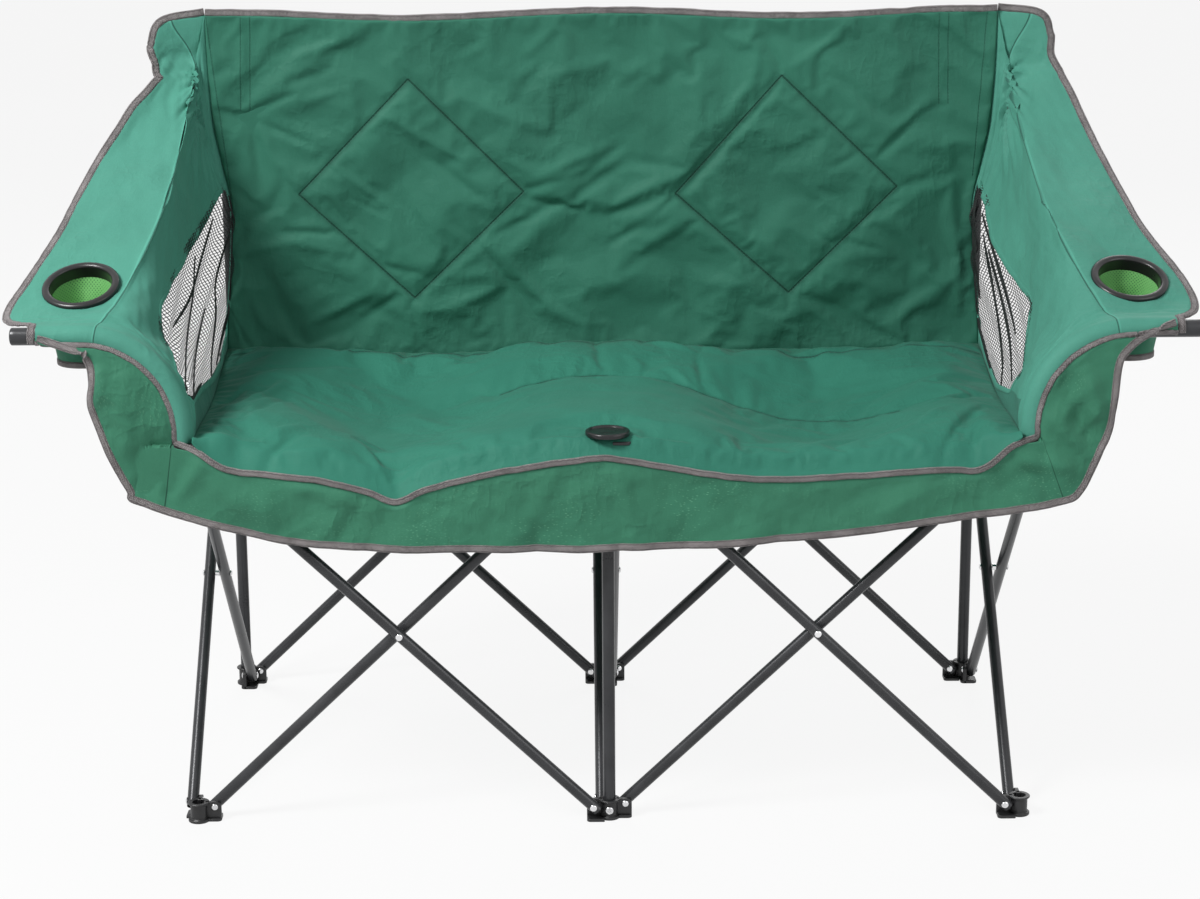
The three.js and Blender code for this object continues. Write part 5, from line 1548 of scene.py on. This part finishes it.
def back_relief(x, z):
    """How far the back stands out: a low crown that is drawn in along the stitched diamonds, with
    creases that run to their corners, and slow waves."""
    height = np.clip((z - SEAM_FOOT) / BACK_RISE, 0, 1)
    edge = np.clip(1 - np.abs(x) / back_half(height), 0, 1)
    crown = np.sqrt(np.clip(4 * edge, 0, 1) * np.clip(5 * height, 0, 1) * np.clip(6 * (1 - height), 0, 1))
    away = seam_distance(x, z, BACK_SEAMS)
    puff = 1 - np.exp(-(away / 0.019) ** 1.2)
    waves = ripple(x, z, 0.13, 3) * 0.0019
    body = 0.0105 * crown * (0.32 + 0.68 * puff)
    creases = 1.1 * folds(x, z, BACK_FOLDS) * smooth(away, 0.001, 0.007)
    return 0.0030 + body + (waves * puff + creases) * crown


def back_top(x):
    """The back's upper edge, which hangs a little between the posts."""
    return BACK_TOP - 0.009 * np.sin(np.pi * np.clip(np.abs(x) / BAY, 0, 1)) ** 2


def back():
    """The padded back, as a front and a rear sheet that meet in a rolled edge."""
    half_width, tall = 0.53, 0.48
    across = edged(236, -1.0, 1.0, PAD_RIM / half_width)
    u, v = np.meshgrid(across, edged(108, 0.0, 1.0, PAD_RIM / tall), indexing="ij")
    x = u * (back_half(v) + 0.0011)
    foot = SEAM_FOOT - 0.010 * bay_wave(x, 0.535)
    z = foot + (back_top(x) - foot) * v
    round_off = pad_rim(np.minimum((1 - np.abs(u)) * half_width, np.minimum(v, 1 - v) * tall))
    middle = BACK_REAR - 0.0025
    front = np.stack([x, middle - back_relief(x, z) * round_off, z], -1)
    rear = np.stack([x, middle + 0.0023 * round_off, z], -1)
    pad = two_sheets("padded_back", front, rear, np.stack([x, z], -1), back_cloth)

    def held(spots):
        on_seam = seam_distance(spots[:, 0], spots[:, 2], BACK_SEAMS) < SEAM_HOLD
        return on_seam | (spots[:, 1] > middle - 0.0034)

    plump(pad, held, pressure=3.0, growth=0.013, frames=12, cap=0.012)
    refined(pad)
    stand(pad, "foot_rear_centre", "back_pad", slot="cloth", crush=SIDEWAYS)

    x = np.linspace(-1, 1, 260) * float(back_half(1.0))
    top = back_top(x) + 0.0008 * ripple(x, 0.0, 0.11, 9)
    edge = np.stack([x, np.full_like(x, middle) + 0.0006 * ripple(x, 0.0, 0.2, 4), top], -1)
    up = np.tile([0.0, 0.0, 1.0], (len(x), 1))
    out = np.tile([0.0, -1.0, 0.0], (len(x), 1))
    trim = Piece("back_edge_tape").tape(edge, up, out, width=0.0105, thickness=0.0066, near=-0.0024)
    stand(trim.make([binding_tape]), "foot_rear_centre", "back_binding", slot="binding", crush=SIDEWAYS)


def seat_relief(x, y):
    """The seat's stuffing above its middle surface: a crown drawn in along its seams and edges, with a
    thick ruffled lip at the rear and creases that run into the corners."""
    half = seat_half(y)
    edge = np.clip((half - np.abs(x)) / 0.07, 0, 1) ** 0.6
    deep = np.clip((y - SEAT_FRONT_Y) / 0.07, 0, 1) ** 0.6 * np.clip((SEAT_REAR_Y - y) / 0.03, 0, 1) ** 0.6
    away = seam_distance(x, y, SEAT_SEAMS)
    puff = 1 - 0.6 * np.exp(-(away / 0.018) ** 1.3)
    hub = smooth(np.hypot(x, y - FRONT), 0.030, 0.075)
    waves = ripple(x, y, 0.15, 21) * 0.0022
    creases = 1.5 * folds(x, y, SEAT_FOLDS) * smooth(away, 0.001, 0.007)
    creases = creases * np.clip((half - np.abs(x)) / 0.012, 0, 1) * np.clip((SEAT_REAR_Y - y) / 0.008, 0, 1)
    return 0.0026 + (0.0062 * edge * deep * puff + waves * edge * deep) * hub + np.maximum(creases, -0.004)


def seat():
    """The padded seat, as an upper and a lower sheet that meet in a rolled edge."""
    half_width, deep = 0.52, 0.54
    across = edged(236, -1.0, 1.0, PAD_RIM / half_width)
    u, v = np.meshgrid(across, edged(120, 0.0, 1.0, PAD_RIM / deep), indexing="ij")
    y = SEAT_FRONT_Y + (SEAT_REAR_Y - SEAT_FRONT_Y) * v
    x = u * (seat_half(y) + 0.0010)
    round_off = pad_rim(np.minimum((1 - np.abs(u)) * half_width, np.minimum(v, 1 - v) * deep))
    middle = seat_surface(x, y)
    upper = np.stack([x, y, middle + seat_relief(x, y) * round_off], -1)
    lower = np.stack([x, y, middle - 0.0023 * round_off], -1)
    pad = two_sheets("padded_seat", upper, lower, np.stack([x, y], -1), seat_cloth)

    def held(spots):
        height = spots[:, 2] - seat_surface(spots[:, 0], spots[:, 1])
        near_cap = np.hypot(spots[:, 0], spots[:, 1] - FRONT) < 0.034
        on_seam = seam_distance(spots[:, 0], spots[:, 1], SEAT_SEAMS) < SEAM_HOLD
        rim_side = np.abs(spots[:, 0]) > seat_half(spots[:, 1]) - 0.004
        rim_end = (spots[:, 1] < SEAT_FRONT_Y + 0.008) | (spots[:, 1] > SEAT_REAR_Y - 0.004)
        return near_cap | on_seam | rim_side | rim_end | (height < 0.0016)

    plump(pad, held, pressure=2.0, growth=0.020, frames=12, cap=0.010)
    refined(pad)
    stand(pad, "hub_front_centre", "seat_pad", slot="cloth", crush=SIDEWAYS)

    profile = [
        (0, 0.5053), (0.0048, 0.5053), (0.005, 0.5108), (0.0276, 0.5109), (0.028, 0.5116), (0.028, 0.5146),
        (0.0277, 0.5158), (0.0268, 0.5166), (0.0254, 0.5169), (0.0238, 0.5168), (0.0228, 0.5160),
        (0.0220, 0.5150), (0.0205, 0.5147), (0.0075, 0.5146), (0.0062, 0.5150), (0.0045, 0.5151),
        (0, 0.5151),
    ]
    button = Piece("seat_button").add(lathe((0, FRONT, 0), (0, 0, 1), profile, 48)).make([gloss])
    stand(button, "hub_front_centre", "seat_cap", slot="plastic")


# The front edge and the skirt

HEM_TABLE = [
    (0.00, -0.700, 0.016, 0.641), (0.03, -0.680, 0.017, 0.634), (0.26, -0.640, 0.020, 0.617),
    (0.44, -0.633, 0.021, 0.585), (0.545, -0.637, 0.022, 0.560), (0.62, -0.630, 0.022, 0.535),
    (0.72, -0.616, 0.022, 0.496), (0.825, -0.593, 0.024, 0.451), (0.965, -0.570, 0.026, 0.432),
    (1.02, -0.508, 0.028, 0.412), (1.05, -0.447, 0.029, 0.396), (1.165, -0.348, 0.030, 0.381),
    (1.245, -0.267, 0.030, 0.375), (1.32, -0.185, 0.030, 0.374), (1.495, -0.010, 0.029, 0.374),
    (1.685, 0.165, 0.029, 0.380), (1.79, 0.302, 0.030, 0.392), (1.89, 0.402, 0.030, 0.405),
    (1.955, 0.501, 0.029, 0.419), (2.02, 0.569, 0.027, 0.429), (2.08, 0.588, 0.025, 0.442),
    (2.185, 0.608, 0.024, 0.487), (2.325, 0.622, 0.023, 0.525), (2.45, 0.627, 0.022, 0.570),
    (2.55, 0.631, 0.021, 0.605), (2.64, 0.642, 0.020, 0.620), (2.91, 0.684, 0.018, 0.646),
    (3.00, 0.700, 0.016, 0.651),
]

SKIRT_FOLDS = [
    (-640, 600, -560, 520, 22, 8), (-600, 560, -590, 470, 14, 5), (-560, 520, -575, 440, 10, -6),
    (-500, 470, -420, 410, 14, 5), (-505, 485, -540, 430, 9, 5), (-620, 610, -630, 560, 10, 5),
    (560, 590, 600, 500, 12, -7), (590, 600, 615, 510, 12, 7), (540, 540, 610, 480, 10, 5),
    (530, 520, 580, 440, 16, 6), (495, 490, 560, 430, 8, -6), (510, 480, 585, 470, 10, 5),
    (600, 580, 560, 530, 9, 4), (610, 545, 580, 510, 8, 4), (480, 470, 520, 420, 12, -5),
    (400, 455, 330, 400, 14, 4), (-300, 440, -340, 385, 12, -5), (-266, 430, -230, 385, 16, 5),
    (-390, 455, -300, 425, 10, 4), (-60, 475, -110, 390, 14, 4), (10, 480, 40, 385, 12, 4),
    (130, 450, 180, 390, 12, -4),
]


def front_line(at):
    """The front edge of the cover by one number: 0 to 1 along the left arm panel's edge, 1 to 2 along
    the seat, 2 to 3 along the right arm panel's edge."""
    at = np.asarray(at, float)
    left = arm_cloth(-1, np.clip(at, 0.003, 1), np.full_like(at, -1.0))
    right = arm_cloth(1, np.clip(3 - at, 0.003, 1), np.full_like(at, -1.0))
    x = (np.clip(at, 1, 2) - 1.5) * 2 * seat_half(SEAT_FRONT_Y)
    y = np.full_like(x, SEAT_FRONT_Y)
    seat_edge = np.stack([x, y, seat_surface(x, y)], -1)
    return np.where((at < 1)[:, None], left, np.where((at > 2)[:, None], right, seat_edge))


def softened(line, rounds):
    """Each point moved toward its neighbours, again and again; the ends stay."""
    line = line.copy()
    for _ in range(rounds):
        line[1:-1] = (line[:-2] + 2 * line[1:-1] + line[2:]) / 4
    return line


def skirt():
    """The skirt, ruled from the front line to its hem, with folds that grow toward the hem."""
    at = stretches((0, 90), (0.9, 50), (1.1, 200), (1.9, 50), (2.1, 90), (3, 0))
    line = softened(front_line(at), 5)
    hems = np.array(HEM_TABLE)
    hem = through(hems[:, 0], hems[:, 1:], at)
    hem = softened(np.stack([hem[:, 0], FRONT - hem[:, 1], hem[:, 2]], -1), 10)
    down = hem - line
    down[:, 1] = 0
    down = unit(down)
    arm = smooth(np.abs(at - 1.5), 0.46, 0.60)[:, None]
    away = unit(down * (1 - 0.35 * arm) + np.array([0, -0.9, 0]) * (0.35 * arm))
    ahead = unit(np.gradient(line, axis=0))
    normal = unit(np.cross(ahead, away))
    normal = normal * np.where(normal[:, 1:2] > 0, 1, -1)
    away = unit(np.cross(ahead, normal))
    away = away * np.where(np.sum(away * down, -1, keepdims=True) > 0, 1, -1)
    wavy = line + (0.0006 * ripple(np.cumsum(np.ones(len(at))) * 0.003, 0.0, 0.03, 8, 2))[:, None] * away
    trim = Piece("front_edge_tape")
    trim.tape(wavy, away, normal, width=0.0082, thickness=0.0056, near=-0.0026)
    trim = trim.make([binding_tape])
    stand(trim, "hub_front_centre", "front_piping", slot="binding", crush=SIDEWAYS)

    top = line + away * 0.0050
    a, s = np.meshgrid(at, np.linspace(0, 1, 56), indexing="ij")
    sheet = top[:, None] * (1 - s[..., None]) + hem[:, None] * s[..., None]
    over = np.sqrt(np.sin(np.pi * np.clip((a - 0.9) / 1.2, 0, 1)))
    wave = 0.0050 * np.sin(a * 19.0 + 1.1 * s + 0.7) + 0.0035 * np.sin(a * 43.0 - 1.6 * s)
    wave = np.abs(wave) * s**1.4 * over
    fine = 0.0022 * ripple(sheet[..., 0], sheet[..., 2], 0.10, 31) * smooth(s, 0, 0.2)
    creased = folds(sheet[..., 0], sheet[..., 2], SKIRT_FOLDS) * smooth(s, 0, 0.12)
    drop = np.linalg.norm(sheet[:, -1] - sheet[:, 0], axis=-1)[:, None]
    belly = 0.025 * drop * np.sin(np.pi * s) * smooth(np.abs(a - 1.5), 0.55, 0.95)
    ends = smooth(np.minimum(a, 3 - a), 0.0, 0.25)
    sheet[..., 1] -= (wave + fine + creased) * ends + belly
    sheet[..., 1] = np.minimum(sheet[..., 1], np.where(sheet[..., 2] < HUB_TOP, FRONT - 0.0225, 9.0))
    cover = Piece("front_skirt_cloth").add(sheet, spans=np.stack([a, s], -1))
    cover = cover.make([skirt_cloth], closed=False)
    thicken(cover, 0.0014)
    stand(cover, "hub_front_centre", "front_skirt", slot="skirt", crush=SIDEWAYS)

    edge = sheet[:, -1]
    away = unit(sheet[:, -1] - sheet[:, -4])
    ahead = unit(np.gradient(edge, axis=0))
    away = unit(away - np.sum(away * ahead, -1, keepdims=True) * ahead)
    normal = unit(np.cross(ahead, away))
    hem_trim = Piece("skirt_edge_tape")
    hem_trim.tape(edge, away, normal, width=0.0098, thickness=0.0036, near=-0.004)
    hem_trim = hem_trim.make([binding_tape])
    stand(hem_trim, "hub_front_centre", "skirt_hem", slot="binding", crush=SIDEWAYS)
    return cover, area_of(sheet), [trim, hem_trim]


back()
seat()
skirt_piece, skirt_area, skirt_trims = skirt()


# Floor, light and camera

BACKGROUND_RAYS = ("Is Camera Ray", "Is Glossy Ray", "Is Transmission Ray")


def stage():
    """A pale floor that goes up in a wide curve far behind, and keeps the shadow. Seen straight on, part
    of its light is its own, so that it is near white as the photograph's is."""
    across = np.linspace(-14, 14, 29)
    run = np.linspace(0, 1, 60)
    turn = (run - 0.6) / 0.4 * np.pi / 2
    y = np.where(run < 0.6, -9 + run / 0.6 * 16, 7 + 5 * np.sin(turn))
    z = np.where(run < 0.6, 0, 12 * (1 - np.cos(turn)))
    grid = np.stack(np.broadcast_arrays(across[:, None], y, z), -1)
    paint = Paint("pale_floor", Roughness=0.55, Specular_IOR_Level=0.15)
    patch = paint.noise(paint.place(), 1.5, 2.0)
    paint.set(Base_Color=paint.mix(patch, (0.62, 0.62, 0.62), (0.66, 0.66, 0.66)))
    first, second, third = (paint.node("ShaderNodeLightPath", give=kind) for kind in BACKGROUND_RAYS)
    seen = first.reckon("MAXIMUM", first, second.reckon("MAXIMUM", second, third))
    own = paint.node("ShaderNodeEmission", {}, {"Color": (1, 1, 1), "Strength": 1.0})
    lit = Wire(paint, paint.shader.outputs[0])
    mixed = paint.node("ShaderNodeMixShader", {}, {0: seen * 0.89, 1: lit, 2: own})
    out = paint.tree.nodes["Material Output"]
    paint.tree.links.new(mixed.socket, out.inputs["Surface"])
    floor = Piece("studio_floor").add(grid).make([paint.material], closed=False)


def world():
    """Soft white light from all round; where it is seen itself, or in gloss or glass, it is full white."""
    sky = bpy.data.worlds.new("studio_light")
    bpy.context.scene.world = sky
    sky.use_nodes = True
    tree = sky.node_tree
    back_light = tree.nodes["Background"]
    back_light.inputs["Color"].default_value = (1, 1, 1, 1)
    path = tree.nodes.new("ShaderNodeLightPath")
    strength = tree.nodes.new("ShaderNodeMapRange")
    strength.inputs["To Min"].default_value = 0.27
    strength.inputs["To Max"].default_value = 1.0
    seen = path.outputs[BACKGROUND_RAYS[0]]
    for kind in BACKGROUND_RAYS[1:]:
        either = tree.nodes.new("ShaderNodeMath")
        either.operation = "MAXIMUM"
        tree.links.new(seen, either.inputs[0])
        tree.links.new(path.outputs[kind], either.inputs[1])
        seen = either.outputs[0]
    tree.links.new(seen, strength.inputs["Value"])
    tree.links.new(strength.outputs[0], back_light.inputs["Strength"])


def stood(name, data, right, up, back, place):
    """Puts a lamp or camera at its place, with the directions of its three axes."""
    made = bpy.data.objects.new(name, data)
    bpy.context.scene.collection.objects.link(made)
    spin = np.eye(4)
    spin[:3] = np.column_stack([right, up, back, place])
    made.matrix_world = Matrix(spin.tolist())
    return made


def lamp(name, place, toward, width, height, power):
    """A soft oblong lamp that faces a point."""
    light = bpy.data.lights.new(name, "AREA")
    light.shape = "RECTANGLE"
    light.size, light.size_y, light.energy = width, height, power
    facing = unit(np.subtract(place, toward).astype(float))
    side = unit(np.cross([0, 0, 1.0], facing))
    stood(name, light, side, np.cross(facing, side), facing, place)


def camera():
    """The camera stands in front of the seat's middle, looks down a little and leans by a third of a
    degree."""
    yaw, pitch, roll = (math.radians(a) for a in (-0.452, 14.63, -0.318))
    ahead = np.array([-math.sin(yaw) * math.cos(pitch), math.cos(yaw) * math.cos(pitch), -math.sin(pitch)])
    right = np.array([math.cos(yaw), math.sin(yaw), 0])
    up = np.cross(right, ahead)
    leaning_right = math.cos(roll) * right + math.sin(roll) * up
    leaning_up = -math.sin(roll) * right + math.cos(roll) * up
    lens = bpy.data.cameras.new("camera")
    lens.sensor_width, lens.lens, lens.sensor_fit = 36.0, 81.6, "HORIZONTAL"
    place = (-0.0355, -3.5448, 1.3495)
    bpy.context.scene.camera = stood("camera", lens, leaning_right, leaning_up, -ahead, place)


AIM = (0, 0, 0.5)  # what the lamps face

stage()
world()
lamp("key", (-2.4, -1.7, 3.4), AIM, width=1.2, height=1.2, power=165)
lamp("fill", (2.6, -2.2, 2.2), AIM, width=2.0, height=2.0, power=28)
lamp("rear", (0.6, 3.6, 2.6), AIM, width=2.4, height=1.6, power=46)
camera()
bpy.context.scene.view_settings.view_transform = "Standard"
